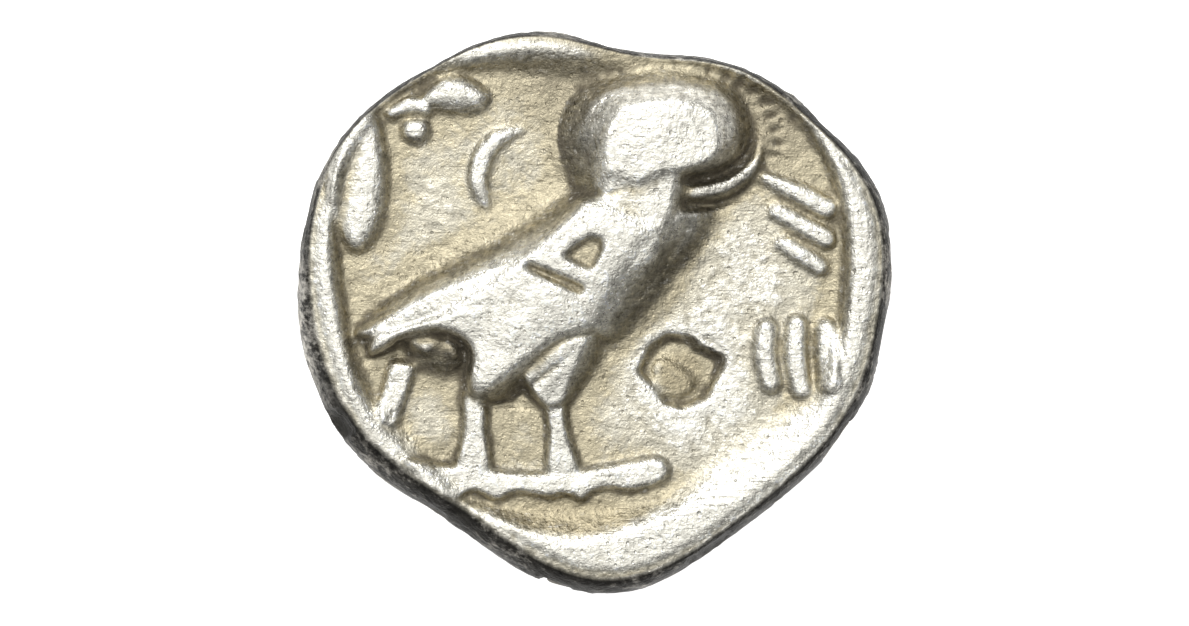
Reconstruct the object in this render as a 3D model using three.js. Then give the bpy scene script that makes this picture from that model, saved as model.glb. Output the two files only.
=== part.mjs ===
// A struck silver tetradrachm: one solid piece of metal, both faces in relief.
// Millimetres, +Z up. The coin lies on its head side, with the owl side up. The origin is under the
// middle of the flan's outline, on the plane that the worn high points of the head side rest on.
// Each face is a height field: a plain field, a rim, and a table of named forms raised from it or sunk
// into it. The heights are worked out on a fine grid, worn down, carried onto a closed mesh of the flan
// and then thinned out to the faces that the shape needs.
import * as THREE from "three";

// ---------------------------------------------------------------- driving dimensions
const FLAN_MEAN_RADIUS = 11.9; // of the outline
const HEAD_FIELD = 1.35; // the head side's field over the resting plane
const OWL_FIELD = 4; // the owl side's field over the resting plane
const OWL_LAND = 4.66; // the flat land round the owl side's sunk square
const GIRTH_TOP = 2.8; // the flan is widest between these two levels
const GIRTH_BOTTOM = 2.1;
const INCUSE_RADIUS = 10.53; // mean radius of the sunk square
const HEAD_AXIS = 82.4; // degrees, how far the head side is turned against the owl side
const HEAD_SHIFT = [0.013, 0.529];
const WEAR_PASSES = 2; // rounds of smoothing that stand for handling wear
const HAIRLINE = 5.8; // on the head side, level of the hairline, just under the visor
const EAR_LEVEL = -2.6; // level of the ear ring, where the nose ends too
const VISOR_END = 7.05; // the forehead stands under the end of the visor

// Measures that change round the flan: a mean and waves of 1, 2, 3 ... per turn, each with its
// size in mm and its turn in degrees.
const OUTLINE_WAVES = [
  [1, 0.559, -88.5], [2, 0.506, 14.6], [3, 0.483, -85], [4, 0.2, -59.8], [5, 0.179, 104.1],
  [6, 0.102, 156.2], [7, 0.064, -63.1], [8, 0.066, -125.4], [9, 0.056, 160.2], [10, 0.03, 107.9],
];
const INCUSE_WAVES = [
  [1, 1.363, -95.5], [2, 0.367, 2.5], [3, 0.389, -65.6], [4, 0.336, 167.7], [5, 0.18, 92.5],
  [6, 0.056, -164],
];
const OWL_SHOULDER_WAVES = [[1, 0.449, 103.5], [2, 0.227, -52], [5, 0.055, 139]];
const HEAD_SHOULDER_WAVES = [[1, 0.33, 100], [2, 0.12, -60]];

const DEG = Math.PI / 180;
const waves = (mean, table) => (a) =>
  table.reduce((sum, [n, size, turn]) => sum + size * Math.cos(n * a + turn * DEG), mean);
const outline = waves(FLAN_MEAN_RADIUS, OUTLINE_WAVES);
const incuse = waves(INCUSE_RADIUS, INCUSE_WAVES);
const owlShoulder = (a) => Math.max(0.3, waves(0.6, OWL_SHOULDER_WAVES)(a));
const headShoulder = (a) => Math.max(0.3, waves(0.7, HEAD_SHOULDER_WAVES)(a));

// ---------------------------------------------------------------- forms
// A ridge follows a smooth line: rows of [x, y, half width, height]. A plateau fills a smooth closed
// outline: rows of [x, y, flank width], and top is [height, rise along x, rise along y].
// An added form or a hollow has a ridge's rows and goes onto, or out of, what lies under it.
// join is how softly a form grows out of the ones under it.
const OWL_FORMS = [
  { name: "leafLong", kind: "plateau", flank: "swell", join: 0.08, top: [0.44, -0.02, 0],
    rows: [[-8.92, 8.33, 0.5], [-8.58, 7.08, 0.54], [-8.46, 5.58, 0.54], [-8.54, 4.67, 0.54],
      [-8.75, 3.58, 0.54], [-9.25, 2.83, 0.5], [-9.75, 2.54, 0.5], [-10.29, 2.79, 0.46],
      [-10.67, 3.58, 0.42], [-10.92, 4.58, 0.58], [-11.08, 5.67, 0.92], [-10.88, 6.67, 1.08],
      [-10.25, 7.58, 1], [-9.58, 8.25, 0.67]] },
  { name: "leafLongRound", kind: "added", flank: "low", join: 0,
    rows: [[-9.29, 7.75, 0.58, 0.1], [-9.29, 6.5, 0.92, 0.18], [-9.5, 5.04, 1, 0.18],
      [-9.67, 3.79, 0.83, 0.14], [-9.71, 3.17, 0.5, 0.08]] },
  { name: "leafShort", kind: "plateau", flank: "swell", join: 0.06, top: [0.42, 0, 0],
    rows: [[-7.17, 9.08, 0.38], [-6.5, 9.83, 0.58], [-5.79, 10.08, 0.58], [-5.17, 9.96, 0.58],
      [-4.62, 9.58, 0.58], [-4.17, 9.08, 0.58], [-4.46, 8.54, 0.58], [-5.04, 8.29, 0.62],
      [-5.83, 8.29, 0.62], [-6.46, 8.46, 0.5], [-7.17, 8.71, 0.33]] },
  { name: "leafShortRound", kind: "added", flank: "low", join: 0,
    rows: [[-6.5, 9.17, 0.54, 0.08], [-5.67, 9.25, 0.75, 0.15], [-4.83, 9.08, 0.62, 0.1]] },
  { name: "twig", kind: "plateau", flank: "swell", join: 0.05, top: [0.38, 0, 0],
    rows: [[-8.75, 8.42, 0.33], [-8.17, 8.92, 0.33], [-7.5, 9.17, 0.33], [-6.92, 9, 0.29],
      [-6.58, 8.67, 0.29], [-6.75, 8.25, 0.25], [-7.33, 8.33, 0.25], [-7.83, 8.25, 0.25],
      [-8.33, 8.08, 0.25]] },
  { name: "olive", kind: "plateau", flank: "swell", join: 0.05, top: [0.42, 0, 0],
    rows: [[-7.92, 8, 0.29], [-7.42, 8.17, 0.29], [-6.88, 8.12, 0.29], [-6.75, 7.62, 0.29],
      [-7.08, 7.12, 0.29], [-7.67, 7.17, 0.29], [-7.96, 7.5, 0.29]] },
  { name: "crescent", kind: "ridge", flank: "worn", join: 0.05,
    rows: [[-3.04, 7.67, 0.21, 0.1], [-3.75, 7.42, 0.38, 0.24], [-4.38, 6.88, 0.5, 0.3],
      [-4.71, 6.08, 0.54, 0.3], [-4.71, 5.33, 0.46, 0.28], [-4.46, 4.58, 0.25, 0.12]] },
  { name: "backSlope", kind: "plateau", flank: "slope", join: 0.1, top: [1.16, 0.01, 0.03],
    rows: [[-10.08, -0.75, 0.58], [-8.75, 0.58, 0.92], [-7.54, 1.54, 1.17], [-6.08, 2.25, 1.33],
      [-4.83, 2.88, 1.42], [-3.25, 3.79, 1.5], [-2, 4.58, 1.5], [-1.08, 5.17, 1.5],
      [0.92, 5.42, 1.67], [2.58, 5, 1.67], [1.75, 2.33, 1.67], [-0.75, -0.58, 1.67],
      [-3.25, -1.42, 1.67], [-5.75, -1.42, 1.25], [-7.42, -1.42, 0.83], [-9.08, -1.33, 0.58]] },
  { name: "body", kind: "plateau", flank: "slope", join: 0.12, top: [1.34, 0.01, 0.02],
    rows: [[-1.75, 4.33, 0.92], [-0.42, 5.29, 0.75], [1.12, 5.42, 1.25], [2.58, 5.42, 2.08],
      [4.04, 4.92, 1.25], [5.25, 4.42, 1.42], [5.29, 3.58, 2.25], [4.83, 2.5, 2.75],
      [4, 1.38, 2.92], [3, 0.21, 2.75], [2, -0.79, 2.25], [1, -1.5, 1.58], [0.25, -1.5, 1.25],
      [-0.42, -1.58, 1.08], [-1.17, -2, 1.25], [-2.33, -2.96, 1.33], [-3.67, -3.83, 1.17],
      [-4.67, -3.83, 0.75], [-5.33, -3.42, 0.54], [-5.46, -2.5, 0.5], [-5.38, -1.58, 0.5],
      [-5.83, -1.08, 0.42], [-6.58, -0.88, 0.38], [-7.33, -0.92, 0.33], [-8, -1.21, 0.29],
      [-8.67, -1.62, 0.25], [-9.29, -1.75, 0.25], [-9.38, -1.08, 0.33], [-9, -0.33, 0.58],
      [-7.75, 0.17, 0.92], [-5.92, 1.33, 1.17], [-3.67, 2.92, 1.17]] },
  { name: "bodyRound", kind: "added", flank: "low", join: 0,
    rows: [[-7.42, -0.5, 1.08, 0.12], [-5.54, 0.46, 2.08, 0.22], [-3.25, 1.5, 2.92, 0.28],
      [-0.75, 2.75, 3.08, 0.32], [1.12, 3.67, 2.5, 0.26]] },
  { name: "bellyRound", kind: "added", flank: "low", join: 0,
    rows: [[-4.29, -2.5, 1.08, 0.16], [-3.25, -1.5, 1.67, 0.2], [-1.58, -0.25, 1.83, 0.16]] },
  { name: "thighFront", kind: "plateau", flank: "slope", join: 0.08, top: [0.98, 0, 0.17],
    rows: [[-3.25, -2.33, 0.58], [-1.33, -0.42, 0.83], [0.42, -0.42, 1], [0.75, -1.33, 1.25],
      [0.29, -2.42, 1.17], [-0.42, -3.25, 0.75], [-0.92, -3.75, 0.33], [-1.58, -4, 0.25],
      [-2.25, -3.83, 0.29]] },
  { name: "rump", kind: "plateau", flank: "slope", join: 0.06, top: [0.55, 0, 0.22],
    rows: [[-7.92, -0.92, 0.33], [-6.92, -0.58, 0.42], [-5.58, -0.83, 0.5], [-5.21, -1.5, 0.5],
      [-5.29, -2.33, 0.67], [-6.04, -2.75, 1.08], [-6.92, -2.54, 1.08], [-7.58, -1.92, 0.67]] },
  { name: "tailFeather", kind: "plateau", flank: "swell", join: 0.05, top: [0.34, 0, 0],
    rows: [[-8.38, -1.92, 0.29], [-7.33, -2.08, 0.29], [-7.5, -2.92, 0.29], [-7.79, -3.79, 0.29],
      [-8.12, -4.67, 0.25], [-8.75, -4.54, 0.25], [-9.04, -3.83, 0.29], [-8.75, -2.92, 0.29]] },
  { name: "shinBack", kind: "plateau", flank: "swell", join: 0.05, top: [0.44, 0, 0.04],
    rows: [[-5.42, -3, 0.25], [-4.42, -3, 0.25], [-4.33, -4.75, 0.25], [-4.25, -6.58, 0.29],
      [-5.75, -6.58, 0.29], [-5.46, -4.75, 0.25]] },
  { name: "shinFront", kind: "plateau", flank: "swell", join: 0.06, top: [0.46, 0, 0.06],
    rows: [[-2.17, -3, 0.25], [-1.17, -3.08, 0.25], [-0.96, -4.75, 0.25], [-0.5, -6.58, 0.29],
      [-1.92, -6.58, 0.29], [-1.92, -4.75, 0.25]] },
  { name: "groundLine", kind: "plateau", flank: "swell", join: 0.04, top: [0.36, 0, 0],
    rows: [[-7.83, -6, 0.25], [-6.17, -6.17, 0.25], [-4.92, -6.33, 0.25], [-2.42, -6.54, 0.25],
      [-0.67, -6.46, 0.25], [0.62, -6.21, 0.25], [1.96, -5.96, 0.29], [2.83, -5.88, 0.29],
      [3.29, -6.42, 0.33], [3, -7, 0.29], [2.42, -7.21, 0.25], [1.58, -7.42, 0.25],
      [0.75, -7.29, 0.21], [0.08, -7.42, 0.21], [-0.42, -7.83, 0.21], [-1, -7.54, 0.21],
      [-1.92, -7.67, 0.25], [-3.08, -7.46, 0.21], [-4, -7.79, 0.25], [-4.92, -7.42, 0.21],
      [-5.67, -7.67, 0.25], [-6.75, -7.25, 0.29]] },
  { name: "head", kind: "plateau", flank: "bank", join: 0.12, top: [1.62, 0.01, -0.05],
    rows: [[-1.5, 6.92, 2.08], [-1.46, 7.75, 2.08], [-1.12, 8.67, 2.08], [-0.5, 9.42, 1.92],
      [0.54, 10, 1.67], [2, 10.25, 1.5], [3.5, 10.33, 1.5], [4.83, 10.12, 1.5],
      [5.75, 9.67, 1.5], [6.38, 8.83, 1.5], [6.62, 7.92, 1.5], [6.58, 7.08, 1.42],
      [6.12, 6.33, 1.08], [5.33, 5.83, 0.71], [4.5, 5.58, 0.58], [3.83, 5.38, 0.58],
      [3.58, 4.92, 0.92], [3.33, 3.92, 2.08], [2.17, 2.92, 2.5], [0.5, 3.33, 2.5],
      [-0.67, 4.33, 1.67], [-0.92, 5.25, 1.5], [-1.29, 6.08, 1.83]] },
  { name: "cheekRing", kind: "ridge", flank: "low", join: 0.08,
    rows: [[5.25, 8.67, 0.42, 1.02], [5.67, 8.08, 0.5, 1.06], [5.75, 7.33, 0.5, 1.04],
      [5.42, 6.67, 0.46, 1]] },
  { name: "neck", kind: "ridge", flank: "worn", join: 0.16,
    rows: [[2.17, 6, 2.42, 1.52], [1.83, 4.67, 2.58, 1.5], [1.17, 3.25, 2.67, 1.44]] },
  { name: "chinRidge", kind: "ridge", flank: "worn", join: 0.08,
    rows: [[3.42, 5.04, 0.5, 0.88], [4.46, 5.08, 0.5, 0.78], [5.42, 5.29, 0.5, 0.62],
      [6.21, 5.71, 0.42, 0.44], [6.75, 6.29, 0.33, 0.28], [6.96, 6.92, 0.25, 0.14]] },
  { name: "strokeA", kind: "ridge", flank: "worn", join: 0.05,
    rows: [[7.17, 5.71, 0.29, 0.2], [8.5, 5.08, 0.5, 0.34], [9.75, 4.42, 0.58, 0.38]] },
  { name: "strokeB", kind: "ridge", flank: "worn", join: 0.05,
    rows: [[7.67, 4.29, 0.42, 0.24], [8.67, 3.75, 0.5, 0.32], [9.71, 3.17, 0.54, 0.34]] },
  { name: "strokeC", kind: "ridge", flank: "worn", join: 0.05,
    rows: [[7.92, 2.96, 0.38, 0.2], [8.67, 2.5, 0.46, 0.28], [9.46, 2, 0.46, 0.28]] },
  { name: "strokeD", kind: "ridge", flank: "worn", join: 0.05,
    rows: [[7.25, -0.58, 0.54, 0.34], [7.17, -1.67, 0.58, 0.36], [7.42, -2.83, 0.54, 0.34]] },
  { name: "strokeE", kind: "ridge", flank: "worn", join: 0.05,
    rows: [[8.5, -0.42, 0.54, 0.36], [8.46, -1.75, 0.58, 0.38], [8.67, -3.08, 0.54, 0.34]] },
  { name: "strokeF", kind: "ridge", flank: "worn", join: 0.05,
    rows: [[9.75, -0.58, 0.54, 0.36], [9.75, -1.67, 0.58, 0.38], [9.79, -2.83, 0.54, 0.34]] },
];

const HEAD_FORMS = [
  { name: "bowl", kind: "plateau", flank: "swell", join: 0.14, top: [0.8, 0, 0],
    rows: [[-10.4, 2.21, 3.7], [-9.91, 4.55, 3.7], [-8.35, 6.81, 3.28], [-6.3, 8.86, 2.87],
      [-3.87, 10.42, 2.3], [-1.2, 11.16, 1.89], [1.67, 11.41, 1.64], [4.34, 11.08, 1.64],
      [6.02, 9.76, 1.64], [4.96, 7.22, 1.64], [0.85, 4.34, 1.64], [-3.67, 2.21, 2.05],
      [-5.64, -0.58, 1.81], [-6.05, -2.31, 1.64], [-7.69, -3.29, 1.64], [-9.17, -2.31, 2.46],
      [-10.07, -0.17, 3.28]] },
  { name: "hairGround", kind: "plateau", flank: "swell", join: 0.16, top: [0.52, 0, 0],
    rows: [[-5.72, 2.7, 1.48], [-2.85, 5.17, 1.64], [1.26, 5.58, 1.64], [5.37, 7.63, 1.64],
      [7.01, 5.17, 1.81], [5.37, -0.58, 2.46], [3.31, -5.1, 2.46], [2.08, -7.56, 1.23],
      [2.08, -11.42, 0.99], [-2.03, -11.59, 1.23], [-4.69, -10.23, 1.48], [-5.8, -7.56, 1.48],
      [-6.13, -4.69, 1.23], [-6.3, -0.99, 1.15]] },
  { name: "neckFront", kind: "plateau", flank: "swell", join: 0.14, top: [0.84, 0, 0],
    rows: [[-2.03, -4.28, 2.87], [0.77, -4.28, 2.46], [1.88, -7.15, 2.05], [2.25, -9.41, 1.89],
      [2.57, -11.51, 1.23], [-0.38, -11.75, 1.64], [-3.05, -11.34, 2.46], [-3.75, -8.38, 2.87]] },
  { name: "neckRound", kind: "added", flank: "low", join: 0,
    rows: [[-0.14, -7.56, 1.81, 0.3], [-0.05, -9.53, 2.05, 0.56], [0.03, -10.44, 1.81, 0.5]] },
  { name: "visor", kind: "ridge", flank: "swell", join: 0.08,
    rows: [[-4.9, 3.85, 1.07, 1.12], [-2.44, 5.41, 1.72, 1.34], [0.23, 6.97, 2.14, 1.44],
      [2.82, 8.45, 2.26, 1.47], [4.63, 9.19, 1.97, 1.38], [5.61, 9.27, 1.4, 1.1]] },
  { name: "visorRoll", kind: "ridge", flank: "low", join: 0.05,
    rows: [[-4.24, 3.11, 0.53, 1.05], [-2.03, 4.18, 0.57, 1.18], [0.52, 5.33, 0.62, 1.22],
      [2.98, 6.48, 0.62, 1.2], [5.12, 7.71, 0.57, 1.1]] },
  { name: "leafBack", kind: "plateau", flank: "swell", join: 0.05, top: [1.22, 0, 0],
    rows: [[-6.13, 9.19, 0.7], [-4.98, 9.76, 0.7], [-3.83, 8.94, 0.74], [-3.26, 7.3, 0.78],
      [-3.42, 5.99, 0.74], [-4.32, 5.41, 0.7], [-5.39, 6.48, 0.74], [-6.09, 7.96, 0.74]] },
  { name: "leafMiddle", kind: "plateau", flank: "swell", join: 0.05, top: [1.22, 0, 0],
    rows: [[-3.42, 10.59, 0.7], [-2.27, 11, 0.7], [-1.2, 10.01, 0.74], [-0.83, 8.7, 0.74],
      [-1.29, 7.3, 0.7], [-2.31, 7.55, 0.7], [-3.17, 8.94, 0.74]] },
  { name: "leafFront", kind: "plateau", flank: "swell", join: 0.05, top: [1.16, 0, 0],
    rows: [[-0.46, 11.16, 0.49], [0.85, 11.65, 0.49], [2.16, 11.16, 0.49], [2.08, 10.17, 0.49],
      [0.93, 9.6, 0.49], [-0.14, 10.26, 0.49]] },
  { name: "leafGap", kind: "hollow", flank: "low", join: 0,
    rows: [[-6.54, 9.03, 0.49, 0.14], [-6.13, 7.38, 0.49, 0.16], [-4.82, 5.58, 0.49, 0.14]] },
  { name: "leafGapTwo", kind: "hollow", flank: "low", join: 0,
    rows: [[-3.75, 10.26, 0.45, 0.14], [-3.26, 8.7, 0.49, 0.2], [-2.76, 7.22, 0.49, 0.2]] },
  { name: "leafGapThree", kind: "hollow", flank: "low", join: 0,
    rows: [[-0.71, 10.83, 0.45, 0.14], [-0.55, 9.52, 0.49, 0.18], [-0.96, 8.04, 0.45, 0.16]] },
  { name: "crestFoot", kind: "ridge", flank: "swell", join: 0.05,
    rows: [[2.33, 11.16, 0.37, 1.1], [3.31, 11.24, 0.45, 1.24], [4.46, 10.91, 0.45, 1.14]] },
  { name: "scrollStem", kind: "added", flank: "low", join: 0,
    rows: [[-8.51, 4.18, 0.45, 0.14], [-7.69, 5.25, 0.49, 0.2], [-6.54, 5.17, 0.49, 0.2],
      [-6.3, 4.18, 0.45, 0.18], [-7.12, 3.69, 0.41, 0.14]] },
  { name: "scrollLeaf", kind: "added", flank: "low", join: 0,
    rows: [[-6.13, 5.74, 0.53, 0.14], [-5.39, 4.51, 0.62, 0.2], [-5.31, 3.44, 0.49, 0.14]] },
  { name: "scrollTail", kind: "added", flank: "low", join: 0,
    rows: [[-7.45, 2.87, 0.49, 0.12], [-7.86, 1.47, 0.57, 0.18], [-7.36, -0.01, 0.49, 0.12]] },
  { name: "hairBand", kind: "ridge", flank: "swell", join: 0.07,
    rows: [[-2.6, 3.44, 0.57, 0.95], [0.03, 3.69, 0.82, 1.06], [2.08, 4.26, 0.9, 1.08],
      [4.05, 5.17, 0.9, 1.02], [5.61, 6.32, 0.74, 0.92]] },
  { name: "hairKnob", kind: "ridge", flank: "swell", join: 0.05,
    rows: [[-1.53, 2.7, 2.22, 1.42], [-0.79, 2.54, 2.22, 1.42]] },
  { name: "templeLock", kind: "ridge", flank: "swell", join: 0.06,
    rows: [[-2.44, 4.26, 1.15, 1.12], [-3.91, 3.44, 1.56, 1.3], [-4.9, 1.96, 1.68, 1.36],
      [-4.98, 0.16, 1.68, 1.36], [-4.16, -1.24, 1.56, 1.32], [-3.01, -1.81, 1.23, 1.18]] },
  { name: "hairBridge", kind: "ridge", flank: "swell", join: 0.06,
    rows: [[-3.5, 3.28, 0.9, 1.1], [-2.44, 2.95, 1.07, 1.16], [-1.53, 2.7, 1.07, 1.1]] },
  { name: "earRing", kind: "ridge", flank: "swell", join: 0.05,
    rows: [[-2.52, -2.47, 1.81, 1.42], [-1.98, -2.72, 1.81, 1.42]] },
  { name: "neckLock", kind: "ridge", flank: "swell", join: 0.06,
    rows: [[-4.49, -2.96, 0.99, 1], [-4, -4.85, 1.48, 1.34], [-3.17, -6.99, 1.48, 1.4],
      [-2.27, -8.63, 0.99, 1.1]] },
  { name: "neckLockTwo", kind: "ridge", flank: "swell", join: 0.06,
    rows: [[-5.88, -3.62, 0.57, 0.6], [-5.64, -5.43, 0.7, 0.72], [-4.9, -7.23, 0.7, 0.72],
      [-4.16, -8.38, 0.57, 0.64]] },
  { name: "napeLock", kind: "ridge", flank: "swell", join: 0.05,
    rows: [[-5.47, -8.38, 0.53, 0.8], [-4.24, -9.21, 0.66, 0.94], [-2.76, -9.04, 0.62, 0.94],
      [-1.7, -8.63, 0.49, 0.8]] },
  { name: "knobShade", kind: "hollow", flank: "low", join: 0,
    rows: [[0.93, 3.85, 0.41, 0.1], [1.26, 2.21, 0.53, 0.22], [0.11, 0.57, 0.53, 0.22],
      [-1.7, 0.16, 0.41, 0.12]] },
  { name: "earShade", kind: "hollow", flank: "low", join: 0,
    rows: [[-0.14, -1.65, 0.37, 0.1], [0.03, -3.13, 0.49, 0.18], [-1.12, -4.44, 0.45, 0.14]] },
];

// The face on the head side is a plain ideal head: hairline to brow, brow to nose and nose to chin are
// equal thirds, and every feature is set out from them. It hangs from the helmet and the ear ring.
// The last form is the shade under the jaw, which goes on after the neck.
function faceForms() {
  const hair = HAIRLINE,
    third = (HAIRLINE - EAR_LEVEL) / 2,
    chin = hair - 3 * third,
    brow = hair - third,
    nose = brow - third,
    mouth = nose - third * 0.34,
    front = VISOR_END; // the line of the forehead and chin
  return [
    { name: "profile", kind: "plateau", flank: "swell", join: 0.12, top: [1, 0, 0],
      rows: [[front - 1, hair + 0.05 * third, 1.5], [front - 0.3, hair - 0.3 * third, 1.5],
        [front + 0.02, brow + 0.35 * third, 1.4], [front + 0.1, brow + 0.06 * third, 1.3],
        [front - 0.04, brow - 0.18 * third, 1.2], [front + 0.3, brow - 0.46 * third, 1.1],
        [front + 0.82, nose + 0.3 * third, 1], [front + 1.24, nose + 0.14 * third, 0.9],
        [front + 1.02, nose + 0.01 * third, 0.9], [front + 0.42, nose - 0.03 * third, 0.9],
        [front + 0.34, nose - 0.17 * third, 0.9], [front + 0.52, mouth + 0.08 * third, 0.9],
        [front + 0.34, mouth, 0.9], [front + 0.42, mouth - 0.1 * third, 0.9],
        [front + 0.08, mouth - 0.25 * third, 1], [front + 0.22, chin + 0.22 * third, 1.1],
        [front - 0.14, chin + 0.05 * third, 1.2], [front - 1.1, chin, 1.3],
        [front - 3, chin + 0.14 * third, 1.5], [front - 5.2, chin + 0.4 * third, 1.7],
        [front - 7.6, chin + 0.8 * third, 1.9], [front - 9.7, nose + 0.25 * third, 2],
        [front - 10.4, brow - 0.4 * third, 2], [front - 9.4, brow + 0.25 * third, 1.8],
        [front - 6.4, hair - 0.42 * third, 1.7], [front - 3, hair - 0.02 * third, 1.6]] },
    { name: "forehead", kind: "added", flank: "low", join: 0,
      rows: [[front - 3, brow + 0.45 * third, 2.2, 0.12], [front - 1.6, brow + 0.5 * third, 1.9, 0.1]] },
    { name: "cheek", kind: "added", flank: "low", join: 0,
      rows: [[front - 4.4, nose + 0.3 * third, 2.7, 0.38], [front - 3.2, nose - 0.02 * third, 2.5, 0.32]] },
    { name: "jaw", kind: "added", flank: "low", join: 0,
      rows: [[front - 6, nose - 0.3 * third, 1.7, 0.14], [front - 2, chin + 0.3 * third, 1.5, 0.14]] },
    { name: "browRidge", kind: "added", flank: "low", join: 0,
      rows: [[front - 4.1, brow - 0.02 * third, 0.6, 0.08], [front - 2.5, brow + 0.09 * third, 0.7, 0.2],
        [front - 0.8, brow + 0.02 * third, 0.65, 0.18]] },
    { name: "noseBridge", kind: "added", flank: "low", join: 0,
      rows: [[front - 0.7, brow - 0.1 * third, 0.6, 0.1], [front - 0.3, brow - 0.5 * third, 0.65, 0.26],
        [front + 0.22, nose + 0.27 * third, 0.72, 0.34], [front + 0.48, nose + 0.16 * third, 0.62, 0.3]] },
    { name: "noseWing", kind: "added", flank: "low", join: 0,
      rows: [[front - 0.42, nose + 0.15 * third, 0.5, 0.14],
        [front - 0.3, nose + 0.12 * third, 0.46, 0.14]] },
    { name: "eyeSocket", kind: "hollow", flank: "low", join: 0,
      rows: [[front - 3, brow - 0.28 * third, 0.95, 0.24],
        [front - 1.4, brow - 0.24 * third, 0.95, 0.36]] },
    { name: "eyeBall", kind: "added", flank: "low", join: 0,
      rows: [[front - 2.7, brow - 0.29 * third, 0.52, 0.2],
        [front - 1.8, brow - 0.27 * third, 0.52, 0.22]] },
    { name: "upperLid", kind: "added", flank: "low", join: 0,
      rows: [[front - 3.5, brow - 0.33 * third, 0.15, 0.05], [front - 2.8, brow - 0.17 * third, 0.18, 0.14],
        [front - 1.9, brow - 0.14 * third, 0.18, 0.15], [front - 1.15, brow - 0.25 * third, 0.16, 0.1]] },
    { name: "lowerLid", kind: "added", flank: "low", join: 0,
      rows: [[front - 3.4, brow - 0.36 * third, 0.14, 0.05], [front - 2.5, brow - 0.44 * third, 0.16, 0.1],
        [front - 1.7, brow - 0.41 * third, 0.16, 0.1], [front - 1.15, brow - 0.3 * third, 0.14, 0.06]] },
    { name: "noseCrease", kind: "hollow", flank: "low", join: 0,
      rows: [[front - 0.85, nose + 0.3 * third, 0.2, 0.06], [front - 1, nose + 0.12 * third, 0.22, 0.12],
        [front - 0.62, nose - 0.02 * third, 0.2, 0.1]] },
    { name: "upperLip", kind: "added", flank: "low", join: 0,
      rows: [[front - 1.2, mouth + 0.02 * third, 0.22, 0.06],
        [front - 0.5, mouth + 0.09 * third, 0.34, 0.18], [front + 0.3, mouth + 0.09 * third, 0.4, 0.22]] },
    { name: "lowerLip", kind: "added", flank: "low", join: 0,
      rows: [[front - 1.1, mouth - 0.05 * third, 0.22, 0.06],
        [front - 0.5, mouth - 0.12 * third, 0.34, 0.18], [front + 0.2, mouth - 0.12 * third, 0.4, 0.22]] },
    { name: "mouthLine", kind: "hollow", flank: "low", join: 0,
      rows: [[front - 1.4, mouth - 0.01 * third, 0.2, 0.1], [front - 0.5, mouth - 0.005 * third, 0.17, 0.2],
        [front + 0.3, mouth - 0.01 * third, 0.17, 0.2]] },
    { name: "lipHollow", kind: "hollow", flank: "low", join: 0,
      rows: [[front - 0.9, mouth - 0.27 * third, 0.4, 0.06],
        [front - 0.1, mouth - 0.27 * third, 0.42, 0.1]] },
    { name: "chinBall", kind: "added", flank: "low", join: 0,
      rows: [[front - 1.3, chin + 0.25 * third, 1.2, 0.3], [front - 0.8, chin + 0.26 * third, 1.15, 0.3]] },
    { name: "jawShade", kind: "hollow", flank: "low", join: 0,
      rows: [[front - 7.2, chin + 0.5 * third, 0.6, 0.1], [front - 5, chin + 0.18 * third, 0.8, 0.2],
        [front - 2.4, chin - 0.12 * third, 0.8, 0.2]] },
  ];
}

// Marks sunk into the owl side after striking: a test punch in the field and a banker's two nicks on
// the wing. Corners of each mouth, its depth, how wide its lip slopes.
const PUNCHES = [
  { name: "testPunch", depth: 0.5, lip: 0.22,
    corners: [[2, -2.38], [2.42, -1.42], [3.12, -0.92], [4, -1], [4.42, -1.38], [5.42, -1.83],
      [5.33, -2.25], [4.96, -2.92], [4.75, -3.42], [3.75, -3.83], [3.08, -3.67], [2.58, -2.96]] },
  { name: "wingPit", depth: 0.34, lip: 0.09,
    corners: [[-1.17, 2.38], [-0.67, 2.88], [-0.12, 3.17], [0.38, 3.12], [0.38, 2.67], [-0.04, 1.88],
      [-0.5, 2.04]] },
  { name: "wingSlot", depth: 0.36, lip: 0.1,
    corners: [[-2.75, 2.08], [-2.54, 2.08], [-0.42, 1.17], [-0.38, 0.96], [-0.54, 0.88], [-2.75, 1.88]] },
];
const PUNCH_CORE = { name: "punchCore", kind: "plateau", flank: "slope", join: 0, top: [0.24, -0.04, -0.05],
  rows: [[2.25, -2.42, 0.38], [2.5, -1.83, 0.38], [3.08, -1.62, 0.5], [3.75, -1.92, 0.58],
    [4.33, -2.33, 0.58], [4.5, -3, 0.5], [4.08, -3.5, 0.38], [3.42, -3.67, 0.33], [2.83, -3.42, 0.33],
    [2.46, -2.96, 0.33]] };

// ---------------------------------------------------------------- how a form's height is worked out
const clamp = (v, lo, hi) => Math.min(hi, Math.max(lo, v));
const step = (a, b, v) => {
  const t = clamp((v - a) / (b - a), 0, 1);
  return t * t * (3 - 2 * t);
};
const softMax = (a, b, k) => {
  const h = clamp(0.5 + (0.5 * (a - b)) / k, 0, 1);
  return b * (1 - h) + a * h + k * h * (1 - h);
};
// share of the full height at q, from 0 on the crest or plateau to 1 at the foot
const FLANKS = {
  swell: (q) => (1 - q * q) ** 0.9,
  low: (q) => (1 - q * q) ** 1.4,
  rise: (q) => 1 - q ** 2.3,
  slope: (q) => 1 - q * q * (3 - 2 * q),
  worn: (q) => 1 - step(0.5, 1, q),
  bank: (q) => 1 - q,
};

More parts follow.
